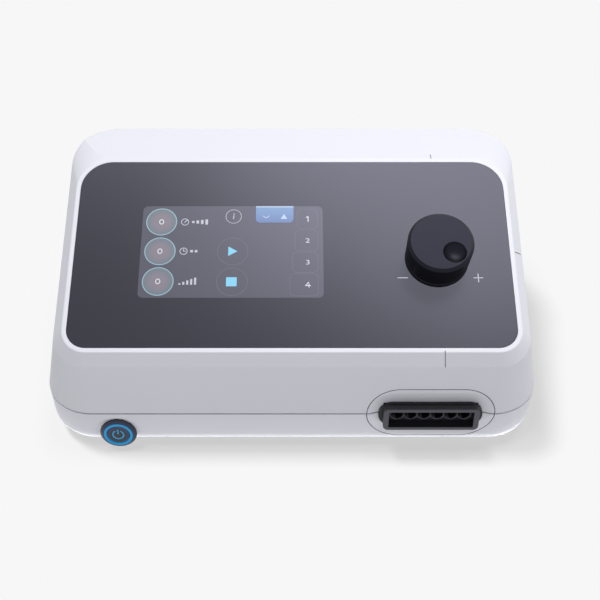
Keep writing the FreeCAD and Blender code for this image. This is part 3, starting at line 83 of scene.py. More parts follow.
# How wide the tone's drift is, and the turn between two faces past which their edge stays sharp.
CLOUD_SIZE = 45 * MM
SMOOTH_ANGLE = math.radians(35)


def moulded(name, colour, roughness, grain, relief, drift=0.03, **sockets):
    """Moulded plastic or rubber: a tool-textured grain, and a tone that drifts over centimetres.

    grain is the size of one pit of the texture and relief its depth, both in metres. Real pits are
    too fine to show, so each grain is drawn a few times coarser. drift and SWING are the shares by
    which tone and roughness go either way.
    """
    SWING = 0.08
    material, tree, output = new_material(name)
    place = add_node(tree, "ShaderNodeTexCoord").outputs["Object"]
    pits = add_node(tree, "ShaderNodeTexNoise", {"Scale": 1 / grain, "Detail": 2.0}, {"Vector": place})
    cloud = add_node(tree, "ShaderNodeTexNoise", {"Scale": 1 / CLOUD_SIZE, "Detail": 1.0}, {"Vector": place})
    tone = add_node(tree, "ShaderNodeMix", {"data_type": "RGBA"}, {0: cloud.outputs["Fac"]})
    red, green, blue, alpha = linear(colour)
    tone.inputs[6].default_value = [red * (1 - drift), green * (1 - drift), blue * (1 - drift), alpha]
    tone.inputs[7].default_value = [min(1, red * (1 + drift)), min(1, green * (1 + drift)),
                                    min(1, blue * (1 + drift)), alpha]
    gloss = add_node(tree, "ShaderNodeMapRange",
                     {"To Min": roughness * (1 - SWING), "To Max": roughness * (1 + SWING)},
                     {"Value": pits.outputs["Fac"]})
    bump = add_node(tree, "ShaderNodeBump", {"Distance": relief}, {"Height": pits.outputs["Fac"]})
    shader = add_node(tree, "ShaderNodeBsdfPrincipled", sockets, {
        "Base Color": tone.outputs[2], "Roughness": gloss.outputs["Result"],
        "Normal": bump.outputs["Normal"]})
    tree.links.new(shader.outputs[0], output.inputs["Surface"])
    return material


def groove_tool(draw, place, depth, finish):
    """A cutter for one groove: faces drawn flat at a place, from below the surface to above it.

    Its finish is what the groove's walls are left with.
    """
    CLEAR = 1.5 * MM
    shape = bmesh.new()
    draw(shape)
    bmesh.ops.solidify(shape, geom=shape.faces[:], thickness=depth + CLEAR)
    bmesh.ops.recalc_face_normals(shape, faces=shape.faces)
    lowest = min(vert.co.z for vert in shape.verts)
    bmesh.ops.translate(shape, vec=(0, 0, -depth - lowest), verts=shape.verts)
    bmesh.ops.transform(shape, matrix=place, verts=shape.verts)
    mesh = bpy.data.meshes.new("groove_tool")
    shape.to_mesh(mesh)
    shape.free()
    mesh.materials.append(finish)
    tool = bpy.data.objects.new("groove_tool", mesh)
    bpy.context.scene.collection.objects.link(tool)
    return tool


def engrave(piece, tools):
    """Cut the grooves and keep the result as the piece's own mesh."""
    piece.data.materials.append(abs_white)
    for tool in tools:
        groove = piece.modifiers.new("groove", "BOOLEAN")
        groove.operation = "DIFFERENCE"
        groove.solver = "EXACT"
        groove.material_mode = "TRANSFER"
        groove.object = tool
    bpy.context.view_layer.update()
    finished = bpy.data.meshes.new_from_object(piece.evaluated_get(bpy.context.evaluated_depsgraph_get()))
    piece.modifiers.clear()
    piece.data = finished
    finished.set_sharp_from_angle(angle=SMOOTH_ANGLE)
    for tool in tools:
        bpy.data.meshes.remove(tool.data)


def settle_normals(piece):
    """Shade every broad flat face dead flat, and lead the narrow faces beside it into it.

    Broad is an area in square metres; flat and smooth are cosines of the turn between two faces.
    """
    BROAD = 1e-4
    FLAT = math.cos(math.radians(0.2))
    SMOOTH = math.cos(SMOOTH_ANGLE)
    mesh = piece.data
    shape = bmesh.new()
    shape.from_mesh(mesh)
    sheets = {}
    for seed in shape.faces:
        if seed in sheets:
            continue
        sheets[seed] = sheet = {"area": 0.0, "normal": seed.normal.copy()}
        queue = [seed]
        while queue:
            face = queue.pop()
            sheet["area"] += face.calc_area()
            for near in [near for edge in face.edges for near in edge.link_faces]:
                if near not in sheets and near.normal.dot(sheet["normal"]) > FLAT:
                    sheets[near] = sheet
                    queue.append(near)
    normals = []
    for face in shape.faces:
        for vert in face.verts:
            fan = [near for near in vert.link_faces if near.normal.dot(face.normal) > SMOOTH]
            leader = max([sheets[near] for near in fan] or [sheets[face]], key=lambda sheet: sheet["area"])
            if sheets[face]["area"] > BROAD or not fan:
                normals.append(sheets[face]["normal"])
            elif leader["area"] > BROAD:
                normals.append(leader["normal"])
            else:
                normals.append(sum((near.normal * near.calc_area() for near in fan), Vector()).normalized())
    shape.free()
    mesh.normals_split_custom_set(normals)


def dressed(node, name, width, sharp=math.radians(30), grooves=()):
    """A merged copy of a CAD node: sharp edges broken by a small round, then grooves cut in.

    width is the round's, and sharp the least turn of an edge that is broken.
    """
    SAME_POINT = 0.002 * MM
    SAME_PLANE = math.radians(0.1)
    piece = bpy.data.objects.new(name, frame["nodes"][node].data.copy())
    bpy.context.scene.collection.objects.link(piece)
    shape = bmesh.new()
    shape.from_mesh(piece.data)
    bmesh.ops.remove_doubles(shape, verts=shape.verts, dist=SAME_POINT)
    bmesh.ops.dissolve_limit(shape, angle_limit=SAME_PLANE, verts=shape.verts, edges=shape.edges)
    bmesh.ops.triangulate(shape, faces=[face for face in shape.faces if len(face.verts) > 4])
    for face in shape.faces:
        face.smooth = True
    shape.to_mesh(piece.data)
    shape.free()
    piece.data.materials.clear()
    rounding = piece.modifiers.new("broken_edges", "BEVEL")
    rounding.width = width
    rounding.segments = 2
    rounding.limit_method = "ANGLE"
    rounding.angle_limit = sharp
    rounding.use_clamp_overlap = True
    rounding.miter_outer = "MITER_ARC"
    if grooves:
        engrave(piece, grooves)
        settle_normals(piece)
    else:
        shading = piece.modifiers.new("even_shading", "WEIGHTED_NORMAL")
        shading.keep_sharp = True
    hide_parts(node)
    return piece


def seat(piece, body, material):
    """Give a piece its finish, unless it has its own, and the body it moves with."""
    if material:
        piece.data.materials.clear()
        piece.data.materials.append(material)
    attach(piece, body)
    return piece


# Injection-moulded ABS: cool white with a touch of lavender, satin from the texture of its tool.
ABS_GRAIN = 0.45 * MM
abs_white = moulded("abs_moulded_white", "e9e9f3", 0.42, ABS_GRAIN, 0.006 * MM, 0.012)
# The same ABS deep in a parting gap, painted grey as shade, so that the gap reads as a line.
gap_shade = moulded("abs_gap_painted_shade", "6e6e78", 0.7, ABS_GRAIN, 0.01 * MM, 0.08)


def opened(material):
    """A material's node tree, its surface shader and the place on the piece in metres."""
    tree = material.node_tree
    shader = next(node for node in tree.nodes if node.bl_idname == "ShaderNodeBsdfPrincipled")
    return tree, shader, add_node(tree, "ShaderNodeTexCoord").outputs["Object"]


def tint(tree, shader, colour, share):
    """Lay a colour over the shader's own, by a share that other nodes work out."""
    under = shader.inputs["Base Color"].links[0].from_socket
    tone = add_node(tree, "ShaderNodeMix", {"data_type": "RGBA", 7: linear(colour)}, {0: share, 6: under})
    tree.links.new(tone.outputs[2], shader.inputs["Base Color"])


def paint_seam_shade(material, height, reach, colour):
    """Darken a moulded material in a thin level band: painted shade of the shadow line along the seam.

    reach is how far the band goes above and below its height; FULL is the share of it before the
    grey fades.
    """
    FULL = 0.9
    tree, shader, place = opened(material)
    level = add_node(tree, "ShaderNodeSeparateXYZ", (), {0: place}).outputs["Z"]
    away = add_node(tree, "ShaderNodeMath", {"operation": "SUBTRACT", 1: height}, {0: level}).outputs[0]
    gap = add_node(tree, "ShaderNodeMath", {"operation": "ABSOLUTE"}, {0: away}).outputs[0]
    share = add_node(tree, "ShaderNodeMapRange", {"From Min": reach, "From Max": reach * FULL},
                     {"Value": gap})
    tint(tree, shader, colour, share.outputs["Result"])


# SEAM is the hose socket's middle, on the front of the seam between the two halves.
SEAM = Vector((79.3, -83.73, 31.0)) * MM
SEAM_SHADE_REACH = 0.62 * MM
# Painted shade: a darker grey band at the seam's height on both halves of the case, where its shadow line
# falls.
paint_seam_shade(abs_white, SEAM.z, SEAM_SHADE_REACH, "7c7c86")

# A hairline groove, a pill in outline, rings the hose socket; its lower half runs in the base's
# wall, which is upright, and its upper half in the top housing's wall, which leans back.
PILL_HALF = 36.6 * MM
PILL_RISE_BELOW, PILL_RISE_ABOVE = 20.0 * MM, 18.8 * MM
PILL_SIDES = 96
HAIRLINE = 0.5 * MM
GROOVE_DEPTH = 1.2 * MM


def draw_pill_line(shape, half_height):
    """The pill as a closed band, centred on its own middle."""
    half_side = Matrix.Rotation(math.pi / PILL_SIDES, 4, "Z")
    verts = bmesh.ops.create_circle(shape, cap_ends=True, radius=half_height + HAIRLINE / 2,
                                    segments=PILL_SIDES, matrix=half_side)["verts"]
    for side in (-1, 1):
        bmesh.ops.translate(shape, vec=(side * (PILL_HALF - half_height), 0, 0),
                            verts=[vert for vert in verts if vert.co.x * side > 0])
    pill = verts[0].link_faces[0]
    bmesh.ops.inset_region(shape, faces=[pill], thickness=HAIRLINE, use_boundary=True, use_even_offset=True)
    bmesh.ops.delete(shape, geom=[pill], context="FACES")


upright = Matrix.Translation(SEAM) @ Matrix.Rotation(math.radians(90), 4, "X")
lower_hairline = groove_tool(lambda shape: draw_pill_line(shape, PILL_RISE_BELOW), upright, GROOVE_DEPTH,
                             gap_shade)
seat(dressed("base_housing", "base_shell", 0.25 * MM, grooves=[lower_hairline]), "case", None)


# ------------------------------------------------------------------ case, upper half
# The top housing is the same white ABS: leaning walls, a chamfer and a thin land that frame the
# glass, and a shelf behind it. It drops over the base's tongue and leaves a 1.2 mm shadow line.

WALL_DRAFT = math.radians(9)
leaning = Matrix.Translation(SEAM) @ Matrix.Rotation(math.radians(90) - WALL_DRAFT, 4, "X")
upper_hairline = groove_tool(lambda shape: draw_pill_line(shape, PILL_RISE_ABOVE), leaning, GROOVE_DEPTH,
                             gap_shade)

# A shallow score in the same ABS, painted a little grey as shade, so that it reads as a fainter line.
score_shade = moulded("abs_score_painted_shade", "b4b4be", 0.6, ABS_GRAIN, 0.008 * MM, 0.04)

# Three index marks are scored across the frame of the glass: where each starts and ends in
# millimetres, and the way its surface faces.
SCORE_WIDTH, SCORE_DEPTH = 0.55 * MM, 0.7 * MM
INDEX_MARKS = (
    ((83.8, -74.6, 75.2), (84.5, -78.3, 65.9), (0, -0.935, 0.355)),
    ((127.8, -15.9, 94.4), (132.7, -12.65, 89.3), (0.77, -0.205, 0.604)),
    ((83.3, 47.8, 115.0), (83.4, 43.6, 115.05), (0, -0.1, 0.995)),
)


def draw_score(shape, length):
    """One straight stroke, drawn flat."""
    bmesh.ops.create_grid(shape, x_segments=1, y_segments=1, size=0.5,
                          matrix=Matrix.Diagonal((length, SCORE_WIDTH, 1, 1)))


def index_mark(start, end, facing):
    """The cutter for one mark, set on the surface between its two ends."""
    start, end, facing = Vector(start) * MM, Vector(end) * MM, Vector(facing).normalized()
    along = (end - start).normalized()
    across = facing.cross(along)
    place = Matrix((along, across, facing)).transposed().to_4x4()
    place.translation = (start + end) / 2
    return groove_tool(lambda shape: draw_score(shape, (end - start).length), place, SCORE_DEPTH, score_shade)


marks = [index_mark(*mark) for mark in INDEX_MARKS]
seat(dressed("top_housing", "top_shell", 0.3 * MM, math.radians(9), grooves=[upper_hairline, *marks]),
     "case", None)


# ------------------------------------------------------------------ control glass
# Chemically strengthened glass, printed dark grey on its back, with a faint anti-glare etch that
# spreads reflections into soft gradients. Its edge is ground.

# The panel's own axes start at the middle of the glass's front edge. The knob turns about the
# panel's normal, and KNOB_RISE is how far up the slope its axis stands.
turn_joint = next(joint for joint in frame["joints"] if joint["name"] == "knob_turn")
panel_up = Vector(turn_joint["axis"]).normalized()
panel_right = Vector((1, 0, 0))
panel_rise = panel_up.cross(panel_right)
knob_place = Vector(turn_joint["pos_m"])
KNOB_RISE = 54.8 * MM
panel_origin = knob_place - panel_right * knob_place.x - panel_rise * KNOB_RISE
panel = Matrix((panel_right, panel_rise, panel_up)).transposed().to_4x4()
panel.translation = panel_origin

# The etch blurs what the glass mirrors. Its grain is drawn coarser than the real one, which is too
# fine to show.
GLASS_ROUGHNESS = 0.3
GLASS_IOR = 1.6
ETCH_GRAIN = 0.12 * MM


def etched_glass(name, colour, glow=None, power=0.0):
    """Back-printed glass: an even print under a smooth face with a faint etch, and lit if asked."""
    SWING = 0.05
    material, tree, output = new_material(name)
    place = add_node(tree, "ShaderNodeTexCoord").outputs["Object"]
    etch = add_node(tree, "ShaderNodeTexNoise", {"Scale": 1 / ETCH_GRAIN, "Detail": 1.0}, {"Vector": place})
    gloss = add_node(tree, "ShaderNodeMapRange",
                     {"To Min": GLASS_ROUGHNESS * (1 - SWING), "To Max": GLASS_ROUGHNESS * (1 + SWING)},
                     {"Value": etch.outputs["Fac"]})
    settings = {"Base Color": linear(colour), "IOR": GLASS_IOR, "Specular Tint": linear("e6e6ff")}
    if glow:
        settings["Emission Color"] = linear(glow)
        settings["Emission Strength"] = power
    shader = add_node(tree, "ShaderNodeBsdfPrincipled", settings, {"Roughness": gloss.outputs["Result"]})
    tree.links.new(shader.outputs[0], output.inputs["Surface"])
    return material


# Near black by itself; the etch lays a broad grey sheen over it, palest at the back.
glass_print = etched_glass("glass_back_printed_grey", "0f0f14")
seat(dressed("control_glass", "cover_glass_pane", 0.3 * MM), "case", glass_print)


# ------------------------------------------------------------------ what the screen shows
# The display behind the glass is lit very faintly, so its rectangle is a shade lighter than the
# print around it. The picture on it is drawn as thin films, a few hundredths of a millimetre
# above the glass: ringed counters, keys, tabs and pictograms.

FILM = 0.03 * MM
PANE_LAYER, LINE_LAYER, RING_LAYER, GLYPH_LAYER = 1, 2, 3, 4


def film(name, material, layer, draw):
    """Draw flat faces in the panel's plane, give them thickness and lay them on the glass."""
    shape = bmesh.new()
    draw(shape)
    bmesh.ops.recalc_face_normals(shape, faces=shape.faces)
    for face in shape.faces:
        if face.normal.z < 0:
            face.normal_flip()
    bmesh.ops.solidify(shape, geom=shape.faces[:], thickness=FILM)
    bmesh.ops.recalc_face_normals(shape, faces=shape.faces)
    bmesh.ops.translate(shape, vec=(0, 0, FILM * layer), verts=shape.verts)
    bmesh.ops.transform(shape, matrix=panel, verts=shape.verts)
    mesh = bpy.data.meshes.new(name)
    shape.to_mesh(mesh)
    shape.free()
    piece = bpy.data.objects.new(name, mesh)
    bpy.context.scene.collection.objects.link(piece)
    seat(piece, "case", material)


def spot(x, y):
    """A place on the glass in millimetres, from its middle and from its front edge."""
    return Matrix.Translation((x * MM, y * MM, 0))


def disc(shape, x, y, radius, sides=64):
    """A round face, or one with a few sides."""
    made = bmesh.ops.create_circle(shape, cap_ends=True, radius=radius * MM, segments=sides,
                                   matrix=spot(x, y))
    return made["verts"]


def hollowed(shape, verts, stroke):
    """Turn the face over some vertices into a band of one stroke's width."""
    face = next(item for item in verts[0].link_faces if all(vert in item.verts for vert in verts))
    bmesh.ops.inset_region(shape, faces=[face], thickness=stroke * MM, use_boundary=True,
                           use_even_offset=True)
    bmesh.ops.delete(shape, geom=[face], context="FACES")


def ring(shape, x, y, radius, stroke):
    """A circle's line."""
    hollowed(shape, disc(shape, x, y, radius), stroke)


def plate(shape, x, y, width, height, corner=0.0, turn=0.0):
    """A rectangle, turned about its middle and its corners rounded if asked."""
    place = spot(x, y) @ Matrix.Rotation(turn, 4, "Z") @ Matrix.Diagonal((width * MM, height * MM, 1, 1))
    verts = bmesh.ops.create_grid(shape, x_segments=1, y_segments=1, size=0.5, matrix=place)["verts"]
    if not corner:
        return verts
    face = verts[0].link_faces[0]
    made = bmesh.ops.bevel(shape, geom=verts, affect="VERTICES", offset=corner * MM, segments=8,
                           profile=0.5, material=-1)
    return list(face.verts) if face.is_valid else made["verts"]


def frame_line(shape, x, y, width, height, corner, stroke):
    """A rounded rectangle's line."""
    hollowed(shape, plate(shape, x, y, width, height, corner), stroke)


# The lit rectangle: a grey just above the print's.
pane_print = etched_glass("display_pane_faintly_lit", "464650", "9696a2", 0.052)
# The rings round the counters: a pale cyan line.
ring_light = etched_glass("display_cyan_line", "86a8b4", "b4cfe0", 0.22)
# Figures: a clear white.
white_light = etched_glass("display_white_glyph", "a4a4ac", "f0f0f6", 0.45)
# Pictograms: a softer white.
soft_light = etched_glass("display_soft_glyph", "94949c", "dadae2", 0.38)
# What stands on the blue tab, and the tab's upper edge: white with a breath of blue.
tab_light = etched_glass("display_tab_glyph", "8e9cb0", "cfe2fa", 0.4)
# The info mark: pale grey.
pale_light = etched_glass("display_pale_line", "8c8c94", "c4c4cc", 0.34)
# Play and stop: a clear sky blue.
key_light = etched_glass("display_key_blue", "5aa0c8", "aaedf7", 0.35)
# The outlines of keys and tabs: a grey that barely shows.
hair_light = etched_glass("display_hairline_grey", "5a5a62", "9a9aa4", 0.09)

# On the panel, places and sizes are in millimetres.
SCREEN_X, SCREEN_Y = -34.5, 60.15
SCREEN_WIDTH, SCREEN_LENGTH, SCREEN_CORNER = 104.8, 59.3, 3.0
film("screen_pane", pane_print, PANE_LAYER, lambda shape: plate(
    shape, SCREEN_X, SCREEN_Y, SCREEN_WIDTH, SCREEN_LENGTH, SCREEN_CORNER))

COUNTERS = ((-75.8, 79.3), (-75.75, 60.0), (-75.9, 40.7))
COUNTER_RADIUS = 8.95
COUNTER_GLOW = 0.14
RING_STROKE, RING_OVERLAP = 0.5, 0.1


def counter_light():
    """A lit disc, warm grey in its middle and cooler and darker towards its ring."""
    WARM_SHARE = 0.45
    material, tree, output = new_material("display_disc_grey")
    place = add_node(tree, "ShaderNodeTexCoord").outputs["Object"]
    middles = [panel @ Vector((x * MM, y * MM, 0)) for x, y in COUNTERS]
    away = [add_node(tree, "ShaderNodeVectorMath", {"operation": "DISTANCE", 1: middle},
                     {0: place}).outputs["Value"] for middle in middles]
    nearer = add_node(tree, "ShaderNodeMath", {"operation": "MINIMUM"}, {0: away[0], 1: away[1]}).outputs[0]
    nearest = add_node(tree, "ShaderNodeMath", {"operation": "MINIMUM"}, {0: nearer, 1: away[2]}).outputs[0]
    share = add_node(tree, "ShaderNodeMapRange", {"From Min": WARM_SHARE * COUNTER_RADIUS * MM,
                                                  "From Max": COUNTER_RADIUS * MM}, {"Value": nearest})
    tone = add_node(tree, "ShaderNodeMix", {"data_type": "RGBA", 6: linear("7e7884"), 7: linear("64747f")},
                    {0: share.outputs["Result"]})
    shader = add_node(tree, "ShaderNodeBsdfPrincipled", {
        "Roughness": GLASS_ROUGHNESS, "Emission Strength": COUNTER_GLOW}, {
        "Base Color": tone.outputs[2], "Emission Color": tone.outputs[2]})
    tree.links.new(shader.outputs[0], output.inputs["Surface"])
    return material


disc_light = counter_light()


def draw_counter_discs(shape):
    """The discs reach a little way under their rings."""
    for x, y in COUNTERS:
        disc(shape, x, y, COUNTER_RADIUS - RING_STROKE + RING_OVERLAP)


def draw_counter_rings(shape):
    """The line round each counter."""
    for x, y in COUNTERS:
        ring(shape, x, y, COUNTER_RADIUS, RING_STROKE)


film("screen_counter_discs", disc_light, LINE_LAYER, draw_counter_discs)
film("screen_counter_rings", ring_light, RING_LAYER, draw_counter_rings)

PLAY = (-34.0, 59.9)
STOP = (-34.0, 40.5)
INFO = (-34.0, 82.9)
KEY_RADIUS, KEY_STROKE = 8.9, 0.35
PLAY_RADIUS = 3.5
STOP_WIDTH, STOP_HEIGHT, STOP_CORNER = 6.0, 5.7, 0.3


def draw_key_circles(shape):
    """The circles round play and stop."""
    for x, y in (PLAY, STOP):
        ring(shape, x, y, KEY_RADIUS, KEY_STROKE)


def draw_play_and_stop(shape):
    """A triangle that points right, and a square."""
    triangle = disc(shape, PLAY[0] - 0.1, PLAY[1] - 0.8, PLAY_RADIUS, sides=3)
    bmesh.ops.rotate(shape, cent=(PLAY[0] * MM, PLAY[1] * MM, 0), verts=triangle,
                     matrix=Matrix.Rotation(math.radians(-90), 3, "Z"))
    plate(shape, STOP[0] - 0.3, STOP[1], STOP_WIDTH, STOP_HEIGHT, STOP_CORNER)


film("screen_key_circles", hair_light, LINE_LAYER, draw_key_circles)
film("screen_play_and_stop", key_light, LINE_LAYER, draw_play_and_stop)

# Tabs 1 to 4 stand in a column at the screen's right, each outlined by a hairline: TABS gives its
# lower and upper edge and its left side, and TAB_EDGE the right side. Numbers stand at TAB_X.
TAB_X = 9.0
TAB_EDGE = 15.0
TAB_CORNER, TAB_STROKE = 3.0, 0.3
TABS = ((74.6, 87.9, 2.9), (60.2, 73.9, 1.5), (46.3, 59.5, 0.0), (31.5, 45.9, -1.4))
TAB_NUMBER_ROWS = (81.2, 66.8, 52.7, 38.6)


def draw_tab_lines(shape):
    """The outline of each tab."""
    for low, high, left in TABS:
        frame_line(shape, (left + TAB_EDGE) / 2, (low + high) / 2, TAB_EDGE - left, high - low, TAB_CORNER,
                   TAB_STROKE)


film("screen_tab_lines", hair_light, LINE_LAYER, draw_tab_lines)


def digits(name, marks, size, material):
    """Numbers as flat films: each is a text turned to a mesh, widened, then laid on the glass.

    BOLDER is what a stroke gains on each side, as a share of the size.
    """
    WIDENED, LOWERED, BOLDER = 1.22, 0.92, 0.004
    shape = bmesh.new()
    for text, x, y in marks:
        curve = bpy.data.curves.new(name, "FONT")
        curve.body = text
        curve.size = size * MM
        curve.offset = BOLDER * size * MM
        curve.align_x = "CENTER"
        curve.align_y = "CENTER"
        writing = bpy.data.objects.new(name + "_text", curve)
        bpy.context.scene.collection.objects.link(writing)
        bpy.context.view_layer.update()
        flat = bpy.data.meshes.new_from_object(writing)
        flat.transform(spot(x, y) @ Matrix.Diagonal((WIDENED, LOWERED, 1, 1)))
        shape.from_mesh(flat)
        bpy.data.objects.remove(writing)
        bpy.data.meshes.remove(flat)
    film(name, material, GLYPH_LAYER, lambda target: merge(shape, target))


def merge(source, target):
    """Copy one flat drawing into another and free it."""
    SAME_POINT = 0.01 * MM
    carrier = bpy.data.meshes.new("carrier")
    source.to_mesh(carrier)
    source.free()
    target.from_mesh(carrier)
    bpy.data.meshes.remove(carrier)
    bmesh.ops.remove_doubles(target, verts=target.verts, dist=SAME_POINT)


DIGIT_STROKE = 0.5


def draw_zeros(shape):
    """Round zeros, a little taller than wide."""
    RADIUS, TALLER = 1.45, 1.2
    for x, y in COUNTERS:
        verts = disc(shape, x, y, RADIUS, sides=40)
        for vert in verts:
            vert.co.y = y * MM + (vert.co.y - y * MM) * TALLER
        hollowed(shape, verts, DIGIT_STROKE)


def draw_one(shape):
    """A one: its stem, and a short flag at the top left."""
    plate(shape, TAB_X + 0.35, TAB_NUMBER_ROWS[0], 0.55, 3.5)
    plate(shape, TAB_X - 0.35, TAB_NUMBER_ROWS[0] + 1.35, 1.5, DIGIT_STROKE, turn=math.radians(35))


def draw_four(shape):
    """An open four: a sloping stroke, a level one and a stem that crosses it."""
    y = TAB_NUMBER_ROWS[3]
    plate(shape, TAB_X - 0.35, y + 0.6, DIGIT_STROKE, 2.9, turn=math.radians(-38))
    plate(shape, TAB_X, y - 0.55, 3.3, DIGIT_STROKE)
    plate(shape, TAB_X + 0.6, y - 0.5, DIGIT_STROKE, 2.4)


film("screen_counter_digits", white_light, GLYPH_LAYER, draw_zeros)
film("screen_tab_one", white_light, GLYPH_LAYER, draw_one)
film("screen_tab_four", white_light, GLYPH_LAYER, draw_four)
TEXT_SIZE = 4.6
digits("screen_tab_digits", [("2", TAB_X, TAB_NUMBER_ROWS[1]), ("3", TAB_X, TAB_NUMBER_ROWS[2])],
       TEXT_SIZE, white_light)

# A pictogram is a dial of this size with a row of bars beside it, or bars that rise by a step.
GLYPH_STROKE = 0.45
DIAL_RADIUS = 2.3
BAR_PITCH = 2.6
LEVEL_PITCH, LEVEL_STEP, LEVEL_FOOT = 2.2, 0.9, -1.8


def draw_info(shape):
    """A small i in a circle, leaning a little."""
    RADIUS, STROKE, DOT, LEAN = 4.7, 0.42, 0.45, math.radians(-8)
    ring(shape, *INFO, RADIUS, STROKE)
    disc(shape, INFO[0] + 0.25, INFO[1] + 1.6, DOT, sides=24)
    plate(shape, INFO[0], INFO[1] - 0.5, 0.7, 2.5, turn=LEAN)


def draw_pressure(shape, x, y):
    """A round gauge with its needle, and a scale of four bars."""
    ring(shape, x, y, DIAL_RADIUS, GLYPH_STROKE)
    plate(shape, x + 0.5, y + 0.5, 2.4, 0.5, turn=math.radians(45))
    for step in range(4):
        plate(shape, x + 4.8 + BAR_PITCH * step, y, 1.5, 1.4 + 0.7 * step, 0.3)


def draw_minutes(shape, x, y):
    """A clock face with two hands, and two bars."""
    ring(shape, x, y, DIAL_RADIUS, GLYPH_STROKE)
    plate(shape, x, y + 0.65, GLYPH_STROKE, 1.9)
    plate(shape, x + 0.6, y, 1.4, GLYPH_STROKE)
    for step in range(2):
        plate(shape, x + 4.6 + BAR_PITCH * step, y, 1.6, 1.6, 0.4)


def draw_level(shape, x, y):
    """Five rising bars on one foot line."""
    for step in range(5):
        height = LEVEL_STEP * (step + 1)
        plate(shape, x - 1.6 + LEVEL_PITCH * step, y + LEVEL_FOOT + height / 2, 1.2, height, 0.25)


film("screen_info_mark", pale_light, GLYPH_LAYER, draw_info)


def draw_pictograms(shape):
    """One pictogram at the right of each counter."""
    draw_pressure(shape, -62.2, 79.2)
    draw_minutes(shape, -62.2, 60.0)
    draw_level(shape, -62.0, 40.4)


film("screen_pictograms", soft_light, GLYPH_LAYER, draw_pictograms)

# The blue tab drops from the screen's upper edge, pale at its top and deeper at its lower edge.
MODE_X, MODE_Y = -10.1, 84.3
MODE_WIDTH, MODE_LENGTH = 21.9, 11.0
MODE_CORNER, MODE_EDGE = 2.6, 0.7
MODE_GLOW = 0.16


def gradient_blue(name, low, high):
    """A lit blue that pales up the slope, read along the panel in the piece's own coordinates."""
    material, tree, output = new_material(name)
    place = add_node(tree, "ShaderNodeTexCoord").outputs["Object"]
    along = add_node(tree, "ShaderNodeVectorMath", {"operation": "DOT_PRODUCT", 1: panel_rise}, {0: place})
    start = panel_rise.dot(panel @ Vector((0, (MODE_Y - MODE_LENGTH / 2) * MM, 0)))
    share = add_node(tree, "ShaderNodeMapRange", {"From Min": start, "From Max": start + MODE_LENGTH * MM},
                     {"Value": along.outputs["Value"]})
    tone = add_node(tree, "ShaderNodeMix", {"data_type": "RGBA", 6: linear(low), 7: linear(high)},
                    {0: share.outputs["Result"]})
    shader = add_node(tree, "ShaderNodeBsdfPrincipled", {
        "Roughness": GLASS_ROUGHNESS, "Emission Strength": MODE_GLOW}, {
        "Base Color": tone.outputs[2], "Emission Color": tone.outputs[2]})
    tree.links.new(shader.outputs[0], output.inputs["Surface"])
    return material


# A soft sky blue, deeper at its lower edge.
mode_blue = gradient_blue("display_tab_blue", "6178aa", "7494c0")


def draw_mode_tab(shape):
    """A tab that hangs from the screen's edge: only its two lower corners are round."""
    verts = plate(shape, MODE_X, MODE_Y, MODE_WIDTH, MODE_LENGTH)
    bmesh.ops.bevel(shape, geom=[vert for vert in verts if vert.co.y < MODE_Y * MM], affect="VERTICES",
                    offset=MODE_CORNER * MM, segments=8, profile=0.5, material=-1)


def draw_mode_glyphs(shape):
    """A chevron, and a small filled arrowhead at its right."""
    CHEVRON_X, ARROW_X = MODE_X - 5.0, MODE_X + 5.4
    WING, SLOPE = 2.6, math.radians(35)
    for side in (-1, 1):
        plate(shape, CHEVRON_X + side * 0.95, MODE_Y - 1.7, WING, GLYPH_STROKE, turn=SLOPE * side)
    disc(shape, ARROW_X, MODE_Y - 1.9, 2.2, sides=3)


film("screen_mode_tab", mode_blue, RING_LAYER, draw_mode_tab)
film("screen_mode_edge", tab_light, GLYPH_LAYER, lambda shape: plate(
    shape, MODE_X, MODE_Y + MODE_LENGTH / 2 - MODE_EDGE / 2, MODE_WIDTH, MODE_EDGE))
film("screen_mode_glyphs", tab_light, GLYPH_LAYER, draw_mode_glyphs)

MINUS_X, PLUS_X, MARKS_Y = 62.7, 105.5, 43.0
MINUS_SPAN, PLUS_SPAN = 5.8, 5.4


def draw_knob_marks(shape):
    """The minus and plus printed beside the knob."""
    plate(shape, MINUS_X, MARKS_Y, MINUS_SPAN, GLYPH_STROKE)
    plate(shape, PLUS_X, MARKS_Y, PLUS_SPAN, GLYPH_STROKE)
    plate(shape, PLUS_X, MARKS_Y, GLYPH_STROKE, PLUS_SPAN)


# Pale ink on the glass's back, unlit: it only shows the light that falls on it.
mark_print = etched_glass("glass_print_pale_grey", "cfcfda")
film("knob_marks", mark_print, PANE_LAYER, draw_knob_marks)


# ------------------------------------------------------------------ control knob
# The knob is one moulding in black ABS with a satin face and a round finger dimple near its rim.
# It sits on the encoder's shaft, and a groove runs round it above its foot.

# Deep black with a thin cool sheen, so that its round shows only at the lit edges.
knob_black = moulded("abs_satin_black", "060608", 0.42, 0.25 * MM, 0.004 * MM, 0.04,
                     **{"Specular IOR Level": 0.3, "Specular Tint": linear("d8d8ff")})
knob = seat(dressed("control_knob", "turning_knob", 0.3 * MM, math.radians(25)), "knob", knob_black)


# ------------------------------------------------------------------ hose socket
# Sleeve, flange and port block are glass-filled nylon, moulded black with a fine matt grain; the
# sleeve's rim is painted lighter as a highlight.

def matt_nylon(name, colour):
    """Glass-filled nylon as it leaves the mould: a fine matt grain."""
    return moulded(name, colour, 0.45, 0.3 * MM, 0.005 * MM, 0.05)


def rim_highlighted(name, colour, highlight_tone, facing, start, end):
    """Moulded black with a painted highlight that pales it between two distances along a direction."""
    material = matt_nylon(name, colour)
    tree, shader, place = opened(material)
    along = add_node(tree, "ShaderNodeVectorMath", {"operation": "DOT_PRODUCT", 1: facing}, {0: place})
    share = add_node(tree, "ShaderNodeMapRange", {"From Min": start, "From Max": end},
                     {"Value": along.outputs["Value"]})
    tint(tree, shader, highlight_tone, share.outputs["Result"])
    return material


